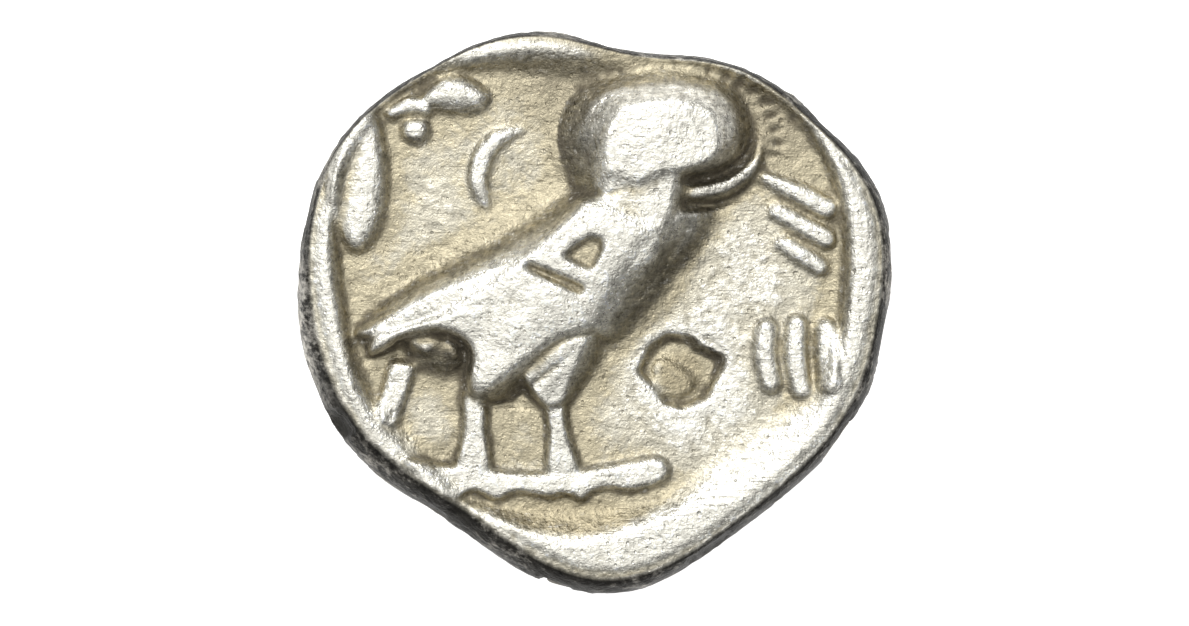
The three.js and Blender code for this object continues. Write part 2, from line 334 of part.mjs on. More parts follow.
// rows of numbers carried through a Catmull-Rom curve, perSpan points to a span
function smoothRows(rows, perSpan, closed) {
  const n = rows.length,
    mirror = (a, b) => a.map((v, k) => 2 * v - b[k]);
  const at = (i) =>
    closed ? rows[(i + n) % n]
      : i < 0 ? mirror(rows[0], rows[1])
        : i >= n ? mirror(rows[n - 1], rows[n - 2])
          : rows[i];
  const out = [];
  for (let i = 0; i < (closed ? n : n - 1); i++)
    for (let j = 0; j < perSpan; j++) {
      const t = j / perSpan,
        [a, b, c, d] = [at(i - 1), at(i), at(i + 1), at(i + 2)];
      out.push(b.map((v, k) => 0.5 * (2 * v + (c[k] - a[k]) * t +
        (2 * a[k] - 5 * v + 4 * c[k] - d[k]) * t * t + (3 * v - a[k] - 3 * c[k] + d[k]) * t ** 3)));
    }
  if (!closed) out.push(rows[n - 1]);
  return out;
}
// nearest point of the segment a-b to x, y: how far along and how far off
function offSegment(x, y, a, b) {
  const dx = b[0] - a[0],
    dy = b[1] - a[1];
  const t = clamp(((x - a[0]) * dx + (y - a[1]) * dy) / (dx * dx + dy * dy), 0, 1);
  return [t, Math.hypot(x - a[0] - t * dx, y - a[1] - t * dy)];
}
const crosses = (x, y, a, b) =>
  a[1] > y !== b[1] > y && x < ((b[0] - a[0]) * (y - a[1])) / (b[1] - a[1]) + a[0];

// height of a form at x, y, or null outside it, as a function made once per form
function heightOf(form) {
  const flat = form.kind === "plateau",
    line = smoothRows(form.rows, flat ? 4 : 5, flat),
    flank = FLANKS[flat && form.flank === "swell" ? "rise" : form.flank];
  const reach = flat ? 0 : Math.max(...line.map((p) => p[2]));
  const box = [0, 1].map((k) => [
    Math.min(...line.map((p) => p[k])) - reach,
    Math.max(...line.map((p) => p[k])) + reach,
  ]);
  const [cx, cy] = [0, 1].map((k) => line.reduce((s, p) => s + p[k], 0) / line.length);
  return (x, y) => {
    if (x < box[0][0] || x > box[0][1] || y < box[1][0] || y > box[1][1]) return null;
    if (!flat) {
      let best = null;
      for (let i = 0; i + 1 < line.length; i++) {
        const a = line[i],
          b = line[i + 1],
          [t, off] = offSegment(x, y, a, b),
          q = off / (a[2] + (b[2] - a[2]) * t);
        if (q < 1) best = Math.max(best ?? -9, (a[3] + (b[3] - a[3]) * t) * flank(q));
      }
      return best;
    }
    let inside = false,
      q = 1;
    line.forEach((a, i) => {
      const b = line[(i + 1) % line.length],
        [t, off] = offSegment(x, y, a, b);
      q = Math.min(q, off / (a[2] + (b[2] - a[2]) * t));
      if (crosses(x, y, a, b)) inside = !inside;
    });
    if (!inside) return null;
    const [h, gx, gy] = form.top;
    return (h + gx * (x - cx) + gy * (y - cy)) * flank(1 - q);
  };
}
function raise(forms) {
  const parts = forms.map((f) => [f, heightOf(f)]);
  return (x, y) => {
    let h = 0;
    for (const [f, at] of parts) {
      const v = at(x, y);
      if (v === null) continue;
      h = f.kind === "hollow" ? h - v : f.kind === "added" ? h + v : softMax(h, v, f.join);
    }
    return h;
  };
}
// signed distance to a closed outline, negative inside
function outsideBy(corners) {
  return (x, y) => {
    let inside = false,
      d = 1e9;
    corners.forEach((a, i) => {
      const b = corners[(i + 1) % corners.length];
      d = Math.min(d, offSegment(x, y, a, b)[1]);
      if (crosses(x, y, a, b)) inside = !inside;
    });
    return inside ? -d : d;
  };
}

// ---------------------------------------------------------------- the two faces
// where the step from the field to the rim is gentle: direction in degrees, spread in radians, amount
const RIM_SOFTER = [[-40, 0.4, 1.9], [92, 0.4, 0.9], [-93, 0.3, 1], [-147, 0.25, 0.9]];
const owlRelief = raise(OWL_FORMS);
const punchCore = heightOf(PUNCH_CORE);
const punches = PUNCHES.map((p) => ({ ...p, off: outsideBy(p.corners) }));
function owlSide(x, y) {
  const a = Math.atan2(y, x),
    r = Math.hypot(x, y);
  // the wall of the sunk square is steep, but runs out gently into the rim at a few places
  const soft = RIM_SOFTER.reduce((sum, [turn, span, amount]) => {
    const away = Math.atan2(Math.sin(a - turn * DEG), Math.cos(a - turn * DEG));
    return sum + amount * Math.exp(-((away / span) ** 2));
  }, 0.5);
  let z = OWL_FIELD + (OWL_LAND - OWL_FIELD) * step(-soft * 0.8, soft * 0.4, r - incuse(a));
  z += owlRelief(x, y);
  for (const p of punches) z -= p.depth * step(p.lip, -p.lip, p.off(x, y));
  z += punchCore(x, y) ?? 0;
  // the land rolls over towards the edge
  return z - 0.16 * step(-0.45, 0, r - outline(a) + owlShoulder(a));
}

const face = faceForms();
const headRelief = raise([...face.slice(0, -1), ...HEAD_FORMS, face.at(-1)]);
const [headCos, headSin] = [Math.cos(HEAD_AXIS * DEG), Math.sin(HEAD_AXIS * DEG)];
function headSide(x, y) {
  // the head side's own axes: to the right and up, as seen from that side
  const dx = x - HEAD_SHIFT[0],
    dy = y - HEAD_SHIFT[1];
  const right = headCos * dx + headSin * dy,
    up = headSin * dx - headCos * dy;
  const a = Math.atan2(y, x),
    off = Math.hypot(x, y) - outline(a) + headShoulder(a);
  const lip = (0.24 + 0.07 * Math.cos(3 * a + 0.6)) * Math.exp(-(((off + 0.12) / 0.22) ** 2));
  // the relief dies away before the shoulder
  const relief = headRelief(right, up) * (1 - step(-1.2, 0.1, off));
  const z = HEAD_FIELD - 0.2 * step(-2.2, -0.3, off) - lip - relief;
  return z + 0.1 * step(-0.3, 0, off);
}

// ---------------------------------------------------------------- grids of heights, worn down
const GRID_CELL = 0.11,
  GRID_HALF = 13.2,
  GRID_N = Math.round((2 * GRID_HALF) / GRID_CELL) + 1;
function wornGrid(height) {
  let grid = new Float64Array(GRID_N * GRID_N);
  for (let j = 0; j < GRID_N; j++)
    for (let i = 0; i < GRID_N; i++) {
      const x = i * GRID_CELL - GRID_HALF,
        y = j * GRID_CELL - GRID_HALF;
      grid[j * GRID_N + i] = Math.hypot(x, y) < 13.6 ? height(x, y) : 2;
    }
  for (let pass = 0; pass < WEAR_PASSES; pass++) {
    const worn = grid.slice();
    for (let j = 1; j < GRID_N - 1; j++)
      for (let i = 1; i < GRID_N - 1; i++) {
        const k = j * GRID_N + i;
        worn[k] = 0.25 * grid[k] + 0.125 * (grid[k - 1] + grid[k + 1] + grid[k - GRID_N] + grid[k + GRID_N]) +
          0.0625 * (grid[k - 1 - GRID_N] + grid[k + 1 - GRID_N] + grid[k - 1 + GRID_N] + grid[k + 1 + GRID_N]);
      }
    grid = worn;
  }
  return (x, y) => {
    const u = clamp((x + GRID_HALF) / GRID_CELL, 0, GRID_N - 1.001),
      v = clamp((y + GRID_HALF) / GRID_CELL, 0, GRID_N - 1.001);
    const i = Math.floor(u),
      j = Math.floor(v),
      k = j * GRID_N + i,
      fu = u - i,
      fv = v - j;
    return (grid[k] * (1 - fu) + grid[k + 1] * fu) * (1 - fv) +
      (grid[k + GRID_N] * (1 - fu) + grid[k + GRID_N + 1] * fu) * fv;
  };
}

// ---------------------------------------------------------------- closed mesh of the flan
// Each face is a square net bent into a disc, so that its cells stay even out to the rim.
const NET = 112; // cells along one side
const SHOULDER_STEPS = 4;
function discPoint(i, j) {
  const a = (2 * i) / NET - 1,
    b = (2 * j) / NET - 1;
  if (a === 0 && b === 0) return [0, 0];
  if (Math.abs(a) > Math.abs(b)) {
    const turn = ((Math.PI / 4) * b) / a + (a < 0 ? Math.PI : 0);
    return [Math.abs(a), turn];
  }
  const turn = Math.PI / 2 - ((Math.PI / 4) * a) / b + (b < 0 ? Math.PI : 0);
  return [Math.abs(b), turn];
}
function flanMesh() {
  const top = wornGrid(owlSide),
    under = wornGrid(headSide);
  const restOn = (x, y) => Math.max(0, under(x, y)); // the high points are worn off level
  const points = [],
    faces = [];
  const add = (x, y, z) => points.push([x, y, z]) - 1;
  const disc = (shoulder, height) => {
    const ids = [];
    for (let j = 0; j <= NET; j++)
      for (let i = 0; i <= NET; i++) {
        const [s, a] = discPoint(i, j),
          r = s * (outline(a) - shoulder(a)),
          x = r * Math.cos(a),
          y = r * Math.sin(a);
        ids.push(add(x, y, height(x, y)));
      }
    return ids;
  };
  const owlIds = disc(owlShoulder, top),
    headIds = disc(headShoulder, restOn);
  const W = NET + 1;
  for (let j = 0; j < NET; j++)
    for (let i = 0; i < NET; i++) {
      const k = j * W + i,
        q = [k, k + 1, k + 1 + W, k + W];
      // split each cell along the diagonal that points at the middle least, so corners stay even
      const turned = i < NET / 2 === j < NET / 2;
      const cut = turned ? [[0, 1, 2], [0, 2, 3]] : [[0, 1, 3], [1, 2, 3]];
      for (const [a, b, c] of cut) {
        faces.push([owlIds[q[a]], owlIds[q[b]], owlIds[q[c]]]);
        faces.push([headIds[q[a]], headIds[q[c]], headIds[q[b]]]);
      }
    }
  // the border of the net, once round counter-clockwise
  const border = [];
  for (let i = 0; i < NET; i++) border.push([i, 0]);
  for (let j = 0; j < NET; j++) border.push([NET, j]);
  for (let i = NET; i > 0; i--) border.push([i, NET]);
  for (let j = NET; j > 0; j--) border.push([0, j]);
  const rings = [border.map(([i, j]) => owlIds[j * W + i])];
  const ring = (shoulder, ids, level) => {
    for (let s = 1; s <= SHOULDER_STEPS; s++) {
      const phi = ((Math.PI / 2) * s) / SHOULDER_STEPS;
      rings.push(border.map(([i, j]) => {
        const [, a] = discPoint(i, j),
          land = points[ids[j * W + i]][2],
          w = shoulder(a),
          r = outline(a) - w + w * Math.sin(phi);
        return add(r * Math.cos(a), r * Math.sin(a), level + (land - level) * Math.cos(phi));
      }));
    }
  };
  ring(owlShoulder, owlIds, GIRTH_TOP);
  const lower = rings.length;
  ring(headShoulder, headIds, GIRTH_BOTTOM);
  const below = rings.splice(lower).reverse();
  rings.push(...below, border.map(([i, j]) => headIds[j * W + i]));
  for (let k = 0; k + 1 < rings.length; k++)
    border.forEach((_, m) => {
      const n = (m + 1) % border.length,
        [a, b, c, d] = [rings[k][m], rings[k][n], rings[k + 1][n], rings[k + 1][m]];
      faces.push([a, d, b], [b, d, c]);
    });
  return { points, faces };
}

// ---------------------------------------------------------------- thinning out
// Edges are closed up one by one, the one that moves the surface least first, and never where that
// would fold the surface or pinch it.
const KEEP_FACES = 9000;
function thinOut({ points, faces }, keep) {
  const n = points.length,
    quad = Array.from({ length: n }, () => new Float64Array(10)),
    around = Array.from({ length: n }, () => new Set()),
    alive = faces.map(() => true),
    stamp = new Int32Array(n);
  const normalOf = (p, q, r) => {
    const ax = q[0] - p[0], ay = q[1] - p[1], az = q[2] - p[2],
      bx = r[0] - p[0], by = r[1] - p[1], bz = r[2] - p[2];
    return [ay * bz - az * by, az * bx - ax * bz, ax * by - ay * bx];
  };
  faces.forEach((f, k) => {
    const m = normalOf(...f.map((v) => points[v])),
      area = Math.hypot(...m),
      [a, b, c] = m.map((v) => v / area),
      d = -(a * points[f[0]][0] + b * points[f[0]][1] + c * points[f[0]][2]);
    const q = [a * a, a * b, a * c, a * d, b * b, b * c, b * d, c * c, c * d, d * d];
    for (const v of f) {
      around[v].add(k);
      for (let i = 0; i < 10; i++) quad[v][i] += q[i] * area;
    }
  });
  const error = (q, [x, y, z]) =>
    q[0] * x * x + 2 * q[1] * x * y + 2 * q[2] * x * z + 2 * q[3] * x + q[4] * y * y +
    2 * q[5] * y * z + 2 * q[6] * y + q[7] * z * z + 2 * q[8] * z + q[9];
  const meet = (u, v) => {
    const q = quad[u].map((x, i) => x + quad[v][i]),
      pu = points[u], pv = points[v];
    const long = (pu[0] - pv[0]) ** 2 + (pu[1] - pv[1]) ** 2 + (pu[2] - pv[2]) ** 2;
    // the worn flats keep their extent: a point beside one closes up onto it
    const shares = pu[2] === 0 && pv[2] !== 0 ? [0] : pv[2] === 0 && pu[2] !== 0 ? [1] : [0.5, 0, 1, 0.25, 0.75];
    const tries = shares.map((t) => pu.map((x, i) => x + (pv[i] - x) * t));
    let best = null;
    for (const p of tries) {
      const e = error(q, p) + 2e-5 * long;
      if (!best || e < best.e) best = { e, p };
    }
    return best;
  };
  // a heap of edges by cost
  const heap = [];
  const push = (item) => {
    let i = heap.push(item) - 1;
    while (i > 0) {
      const up = (i - 1) >> 1;
      if (heap[up].e <= heap[i].e) break;
      [heap[up], heap[i]] = [heap[i], heap[up]];
      i = up;
    }
  };
  const pop = () => {
    const first = heap[0],
      last = heap.pop();
    if (heap.length) {
      heap[0] = last;
      for (let i = 0; ;) {
        let low = i;
        for (const c of [2 * i + 1, 2 * i + 2]) if (c < heap.length && heap[c].e < heap[low].e) low = c;
        if (low === i) break;
        [heap[low], heap[i]] = [heap[i], heap[low]];
        i = low;
      }
    }
    return first;
  };
  const queue = (u, v) => {
    const { e, p } = meet(u, v);
    push({ e, p, u, v, su: stamp[u], sv: stamp[v] });
  };
  const neighbours = (v) => {
    const out = new Set();
    for (const k of around[v]) for (const w of faces[k]) if (w !== v) out.add(w);
    return out;
  };
  for (let v = 0; v < n; v++) for (const w of neighbours(v)) if (v < w) queue(v, w);
  let left = faces.length;
  while (left > keep && heap.length) {
    const { p, u, v, su, sv } = pop();
    if (stamp[u] !== su || stamp[v] !== sv) continue;
    const nu = neighbours(u),
      nv = neighbours(v);
    if (!nu.has(v)) continue;
    let shared = 0;
    for (const w of nu) if (nv.has(w)) shared++;
    if (shared !== 2) continue;
    let folds = false;
    for (const [from, other] of [[u, v], [v, u]]) {
      for (const k of around[from]) {
        const f = faces[k];
        if (f.includes(other)) continue;
        const was = normalOf(...f.map((w) => points[w])),
          now = normalOf(...f.map((w) => (w === from ? p : points[w])));
        const lw = Math.hypot(...was), ln = Math.hypot(...now);
        if (ln < 2e-3 || was[0] * now[0] + was[1] * now[1] + was[2] * now[2] < 0.35 * lw * ln) folds = true;
        // no needles
        const c = f.map((w) => (w === from ? p : points[w]));
        const sides = [0, 1, 2].reduce((s, i) => s + (c[i][0] - c[(i + 1) % 3][0]) ** 2 +
          (c[i][1] - c[(i + 1) % 3][1]) ** 2 + (c[i][2] - c[(i + 1) % 3][2]) ** 2, 0);
        if ((2 * Math.sqrt(3) * ln) / sides < 0.08) folds = true;
        if (folds) break;
      }
      if (folds) break;
    }
    if (folds) continue;
    points[u] = p;
    for (let i = 0; i < 10; i++) quad[u][i] += quad[v][i];
    for (const k of around[v]) {
      if (faces[k].includes(u)) {
        alive[k] = false;
        left--;
        for (const w of faces[k]) if (w !== v) around[w].delete(k);
      } else {
        faces[k] = faces[k].map((w) => (w === v ? u : w));
        around[u].add(k);
      }
    }
    around[v].clear();
    stamp[v] = -1;
    stamp[u]++;
    for (const w of neighbours(u)) queue(Math.min(u, w), Math.max(u, w));
  }
  const kept = faces.filter((_, k) => alive[k]),
    used = new Map();
  const positions = [],
    index = [];
  for (const f of kept)
    for (const v of f) {
      if (!used.has(v)) {
        used.set(v, used.size);
        positions.push(...points[v]);
      }
      index.push(used.get(v));
    }
  return { positions, index };
}

const { positions, index } = thinOut(flanMesh(), KEEP_FACES);
// the origin lies under the middle of the outline
for (const k of [0, 1]) {
  const along = positions.filter((_, i) => i % 3 === k),
    middle = (along.reduce((a, b) => Math.max(a, b)) + along.reduce((a, b) => Math.min(a, b))) / 2;
  for (let i = k; i < positions.length; i += 3) positions[i] -= middle;
}
const geometry = new THREE.BufferGeometry();
geometry.setAttribute("position", new THREE.Float32BufferAttribute(positions, 3));
geometry.setIndex(index);
geometry.computeVertexNormals();

const silver = new THREE.MeshStandardMaterial({
  color: new THREE.Color(0xb9b3a4),
  roughness: 0.38,
  metalness: 1,
});

const coin = new THREE.Mesh(geometry, silver);
coin.name = "coin";
const tetradrachm = new THREE.Group();
tetradrachm.name = "tetradrachm_coin";
tetradrachm.add(coin);

export default tetradrachm;
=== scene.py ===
# A struck silver tetradrachm, lying on its head side with the owl side up.
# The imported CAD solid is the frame. This script makes the fine surface over it: one closed mesh of the
# flan with both reliefs worked out on a grid of heights, then worn, pitted and scratched, and a silver
# whose toning follows the relief.
import math

import bpy
import numpy as np
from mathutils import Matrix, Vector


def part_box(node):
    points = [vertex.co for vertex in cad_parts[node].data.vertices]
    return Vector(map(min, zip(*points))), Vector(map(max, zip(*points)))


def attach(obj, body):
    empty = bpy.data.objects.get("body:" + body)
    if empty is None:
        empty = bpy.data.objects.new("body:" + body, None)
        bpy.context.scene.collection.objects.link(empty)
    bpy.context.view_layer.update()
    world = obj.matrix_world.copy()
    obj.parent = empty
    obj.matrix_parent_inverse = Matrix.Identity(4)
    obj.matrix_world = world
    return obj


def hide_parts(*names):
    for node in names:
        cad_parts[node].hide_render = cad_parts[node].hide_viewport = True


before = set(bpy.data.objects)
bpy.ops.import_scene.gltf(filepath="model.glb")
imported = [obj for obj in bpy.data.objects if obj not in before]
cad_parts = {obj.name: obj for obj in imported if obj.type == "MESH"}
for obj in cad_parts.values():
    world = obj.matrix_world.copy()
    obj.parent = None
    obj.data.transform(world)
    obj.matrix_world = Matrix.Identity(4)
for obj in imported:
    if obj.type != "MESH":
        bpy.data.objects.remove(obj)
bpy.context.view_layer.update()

# ------------------------------------------------------------------ sizes, in mm
FLAN_MEAN_RADIUS = 11.9
HEAD_FIELD = 1.35
OWL_FIELD = 4.0
OWL_LAND = 4.66
GIRTH_TOP = 2.8
GIRTH_BOTTOM = 2.1
INCUSE_RADIUS = 10.53
HEAD_AXIS = 82.4
HEAD_SHIFT = (0.013, 0.529)
HAIRLINE = 5.8      # level of the hairline, just under the visor
EAR_LEVEL = -2.6    # level of the ear ring, where the nose ends too
VISOR_END = 7.05    # the forehead stands under the end of the visor
NET = 196           # cells along one side of each face's net
CELL = 0.05         # cell of the height grids
HALF = 13.2

OUTLINE_WAVES = [
    (1, 0.559, -88.5), (2, 0.506, 14.6), (3, 0.483, -85), (4, 0.2, -59.8), (5, 0.179, 104.1),
    (6, 0.102, 156.2), (7, 0.064, -63.1), (8, 0.066, -125.4), (9, 0.056, 160.2), (10, 0.03, 107.9),
]
INCUSE_WAVES = [
    (1, 1.363, -95.5), (2, 0.367, 2.5), (3, 0.389, -65.6), (4, 0.336, 167.7), (5, 0.18, 92.5),
    (6, 0.056, -164),
]
OWL_SHOULDER_WAVES = [(1, 0.449, 103.5), (2, 0.227, -52), (5, 0.055, 139)]
HEAD_SHOULDER_WAVES = [(1, 0.33, 100), (2, 0.12, -60)]


def waves(mean, table, a):
    out = np.full_like(a, mean)
    for n, size, turn in table:
        out = out + size * np.cos(n * a + math.radians(turn))
    return out


def outline(a):
    return waves(FLAN_MEAN_RADIUS, OUTLINE_WAVES, a)


def incuse(a):
    return waves(INCUSE_RADIUS, INCUSE_WAVES, a)


def owl_shoulder(a):
    return np.maximum(0.3, waves(0.6, OWL_SHOULDER_WAVES, a))


def head_shoulder(a):
    return np.maximum(0.3, waves(0.7, HEAD_SHOULDER_WAVES, a))


# ------------------------------------------------------------------ forms
# name, kind, flank, how softly it joins, top of a plateau, rows. A row is x, y, then the flank's width
# for a plateau, or the half width and the height for a ridge.
OWL_FORMS = [
    ("leafLong", "plateau", "swell", 0.08, [0.44, -0.02, 0], [
        [-8.92, 8.33, 0.5], [-8.58, 7.08, 0.54], [-8.46, 5.58, 0.54], [-8.54, 4.67, 0.54],
        [-8.75, 3.58, 0.54], [-9.25, 2.83, 0.5], [-9.75, 2.54, 0.5], [-10.29, 2.79, 0.46],
        [-10.67, 3.58, 0.42], [-10.92, 4.58, 0.58], [-11.08, 5.67, 0.92], [-10.88, 6.67, 1.08],
        [-10.25, 7.58, 1], [-9.58, 8.25, 0.67]]),
    ("leafLongRound", "added", "low", 0, None, [
        [-9.29, 7.75, 0.58, 0.1], [-9.29, 6.5, 0.92, 0.18], [-9.5, 5.04, 1, 0.18],
        [-9.67, 3.79, 0.83, 0.14], [-9.71, 3.17, 0.5, 0.08]]),
    ("leafShort", "plateau", "swell", 0.06, [0.42, 0, 0], [
        [-7.17, 9.08, 0.38], [-6.5, 9.83, 0.58], [-5.79, 10.08, 0.58], [-5.17, 9.96, 0.58],
        [-4.62, 9.58, 0.58], [-4.17, 9.08, 0.58], [-4.46, 8.54, 0.58], [-5.04, 8.29, 0.62],
        [-5.83, 8.29, 0.62], [-6.46, 8.46, 0.5], [-7.17, 8.71, 0.33]]),
    ("leafShortRound", "added", "low", 0, None, [
        [-6.5, 9.17, 0.54, 0.08], [-5.67, 9.25, 0.75, 0.15], [-4.83, 9.08, 0.62, 0.1]]),
    ("twig", "plateau", "swell", 0.05, [0.38, 0, 0], [
        [-8.75, 8.42, 0.33], [-8.17, 8.92, 0.33], [-7.5, 9.17, 0.33], [-6.92, 9, 0.29],
        [-6.58, 8.67, 0.29], [-6.75, 8.25, 0.25], [-7.33, 8.33, 0.25], [-7.83, 8.25, 0.25],
        [-8.33, 8.08, 0.25]]),
    ("olive", "plateau", "swell", 0.05, [0.42, 0, 0], [
        [-7.92, 8, 0.29], [-7.42, 8.17, 0.29], [-6.88, 8.12, 0.29], [-6.75, 7.62, 0.29],
        [-7.08, 7.12, 0.29], [-7.67, 7.17, 0.29], [-7.96, 7.5, 0.29]]),
    ("crescent", "ridge", "worn", 0.05, None, [
        [-3.04, 7.67, 0.21, 0.1], [-3.75, 7.42, 0.38, 0.24], [-4.38, 6.88, 0.5, 0.3],
        [-4.71, 6.08, 0.54, 0.3], [-4.71, 5.33, 0.46, 0.28], [-4.46, 4.58, 0.25, 0.12]]),
    ("backSlope", "plateau", "slope", 0.1, [1.16, 0.01, 0.03], [
        [-10.08, -0.75, 0.58], [-8.75, 0.58, 0.92], [-7.54, 1.54, 1.17], [-6.08, 2.25, 1.33],
        [-4.83, 2.88, 1.42], [-3.25, 3.79, 1.5], [-2, 4.58, 1.5], [-1.08, 5.17, 1.5],
        [0.92, 5.42, 1.67], [2.58, 5, 1.67], [1.75, 2.33, 1.67], [-0.75, -0.58, 1.67],
        [-3.25, -1.42, 1.67], [-5.75, -1.42, 1.25], [-7.42, -1.42, 0.83], [-9.08, -1.33, 0.58]]),
    ("body", "plateau", "slope", 0.12, [1.34, 0.01, 0.02], [
        [-1.75, 4.33, 0.92], [-0.42, 5.29, 0.75], [1.12, 5.42, 1.25], [2.58, 5.42, 2.08],
        [4.04, 4.92, 1.25], [5.25, 4.42, 1.42], [5.29, 3.58, 2.25], [4.83, 2.5, 2.75],
        [4, 1.38, 2.92], [3, 0.21, 2.75], [2, -0.79, 2.25], [1, -1.5, 1.58], [0.25, -1.5, 1.25],
        [-0.42, -1.58, 1.08], [-1.17, -2, 1.25], [-2.33, -2.96, 1.33], [-3.67, -3.83, 1.17],
        [-4.67, -3.83, 0.75], [-5.33, -3.42, 0.54], [-5.46, -2.5, 0.5], [-5.38, -1.58, 0.5],
        [-5.83, -1.08, 0.42], [-6.58, -0.88, 0.38], [-7.33, -0.92, 0.33], [-8, -1.21, 0.29],
        [-8.67, -1.62, 0.25], [-9.29, -1.75, 0.25], [-9.38, -1.08, 0.33], [-9, -0.33, 0.58],
        [-7.75, 0.17, 0.92], [-5.92, 1.33, 1.17], [-3.67, 2.92, 1.17]]),
    ("bodyRound", "added", "low", 0, None, [
        [-7.42, -0.5, 1.08, 0.12], [-5.54, 0.46, 2.08, 0.22], [-3.25, 1.5, 2.92, 0.28],
        [-0.75, 2.75, 3.08, 0.32], [1.12, 3.67, 2.5, 0.26]]),
    ("bellyRound", "added", "low", 0, None, [
        [-4.29, -2.5, 1.08, 0.16], [-3.25, -1.5, 1.67, 0.2], [-1.58, -0.25, 1.83, 0.16]]),
    ("thighFront", "plateau", "slope", 0.08, [0.98, 0, 0.17], [
        [-3.25, -2.33, 0.58], [-1.33, -0.42, 0.83], [0.42, -0.42, 1], [0.75, -1.33, 1.25],
        [0.29, -2.42, 1.17], [-0.42, -3.25, 0.75], [-0.92, -3.75, 0.33], [-1.58, -4, 0.25],
        [-2.25, -3.83, 0.29]]),
    ("rump", "plateau", "slope", 0.06, [0.55, 0, 0.22], [
        [-7.92, -0.92, 0.33], [-6.92, -0.58, 0.42], [-5.58, -0.83, 0.5], [-5.21, -1.5, 0.5],
        [-5.29, -2.33, 0.67], [-6.04, -2.75, 1.08], [-6.92, -2.54, 1.08], [-7.58, -1.92, 0.67]]),
    ("tailFeather", "plateau", "swell", 0.05, [0.34, 0, 0], [
        [-8.38, -1.92, 0.29], [-7.33, -2.08, 0.29], [-7.5, -2.92, 0.29], [-7.79, -3.79, 0.29],
        [-8.12, -4.67, 0.25], [-8.75, -4.54, 0.25], [-9.04, -3.83, 0.29], [-8.75, -2.92, 0.29]]),
    ("shinBack", "plateau", "swell", 0.05, [0.44, 0, 0.04], [
        [-5.42, -3, 0.25], [-4.42, -3, 0.25], [-4.33, -4.75, 0.25], [-4.25, -6.58, 0.29],
        [-5.75, -6.58, 0.29], [-5.46, -4.75, 0.25]]),
    ("shinFront", "plateau", "swell", 0.06, [0.46, 0, 0.06], [
        [-2.17, -3, 0.25], [-1.17, -3.08, 0.25], [-0.96, -4.75, 0.25], [-0.5, -6.58, 0.29],
        [-1.92, -6.58, 0.29], [-1.92, -4.75, 0.25]]),
    ("groundLine", "plateau", "swell", 0.04, [0.36, 0, 0], [
        [-7.83, -6, 0.25], [-6.17, -6.17, 0.25], [-4.92, -6.33, 0.25], [-2.42, -6.54, 0.25],
        [-0.67, -6.46, 0.25], [0.62, -6.21, 0.25], [1.96, -5.96, 0.29], [2.83, -5.88, 0.29],
        [3.29, -6.42, 0.33], [3, -7, 0.29], [2.42, -7.21, 0.25], [1.58, -7.42, 0.25],
        [0.75, -7.29, 0.21], [0.08, -7.42, 0.21], [-0.42, -7.83, 0.21], [-1, -7.54, 0.21],
        [-1.92, -7.67, 0.25], [-3.08, -7.46, 0.21], [-4, -7.79, 0.25], [-4.92, -7.42, 0.21],
        [-5.67, -7.67, 0.25], [-6.75, -7.25, 0.29]]),
    ("head", "plateau", "bank", 0.12, [1.62, 0.01, -0.05], [
        [-1.5, 6.92, 2.08], [-1.46, 7.75, 2.08], [-1.12, 8.67, 2.08], [-0.5, 9.42, 1.92],
        [0.54, 10, 1.67], [2, 10.25, 1.5], [3.5, 10.33, 1.5], [4.83, 10.12, 1.5], [5.75, 9.67, 1.5],
        [6.38, 8.83, 1.5], [6.62, 7.92, 1.5], [6.58, 7.08, 1.42], [6.12, 6.33, 1.08],
        [5.33, 5.83, 0.71], [4.5, 5.58, 0.58], [3.83, 5.38, 0.58], [3.58, 4.92, 0.92],
        [3.33, 3.92, 2.08], [2.17, 2.92, 2.5], [0.5, 3.33, 2.5], [-0.67, 4.33, 1.67],
        [-0.92, 5.25, 1.5], [-1.29, 6.08, 1.83]]),
    ("cheekRing", "ridge", "low", 0.08, None, [
        [5.25, 8.67, 0.42, 1.02], [5.67, 8.08, 0.5, 1.06], [5.75, 7.33, 0.5, 1.04],
        [5.42, 6.67, 0.46, 1]]),
    ("neck", "ridge", "worn", 0.16, None, [
        [2.17, 6, 2.42, 1.52], [1.83, 4.67, 2.58, 1.5], [1.17, 3.25, 2.67, 1.44]]),
    ("chinRidge", "ridge", "worn", 0.08, None, [
        [3.42, 5.04, 0.5, 0.88], [4.46, 5.08, 0.5, 0.78], [5.42, 5.29, 0.5, 0.62],
        [6.21, 5.71, 0.42, 0.44], [6.75, 6.29, 0.33, 0.28], [6.96, 6.92, 0.25, 0.14]]),
    ("strokeA", "ridge", "worn", 0.05, None, [
        [7.17, 5.71, 0.29, 0.2], [8.5, 5.08, 0.5, 0.34], [9.75, 4.42, 0.58, 0.38]]),
    ("strokeB", "ridge", "worn", 0.05, None, [
        [7.67, 4.29, 0.42, 0.24], [8.67, 3.75, 0.5, 0.32], [9.71, 3.17, 0.54, 0.34]]),
    ("strokeC", "ridge", "worn", 0.05, None, [
        [7.92, 2.96, 0.38, 0.2], [8.67, 2.5, 0.46, 0.28], [9.46, 2, 0.46, 0.28]]),
    ("strokeD", "ridge", "worn", 0.05, None, [
        [7.25, -0.58, 0.54, 0.34], [7.17, -1.67, 0.58, 0.36], [7.42, -2.83, 0.54, 0.34]]),
    ("strokeE", "ridge", "worn", 0.05, None, [
        [8.5, -0.42, 0.54, 0.36], [8.46, -1.75, 0.58, 0.38], [8.67, -3.08, 0.54, 0.34]]),
    ("strokeF", "ridge", "worn", 0.05, None, [
        [9.75, -0.58, 0.54, 0.36], [9.75, -1.67, 0.58, 0.38], [9.79, -2.83, 0.54, 0.34]]),
]

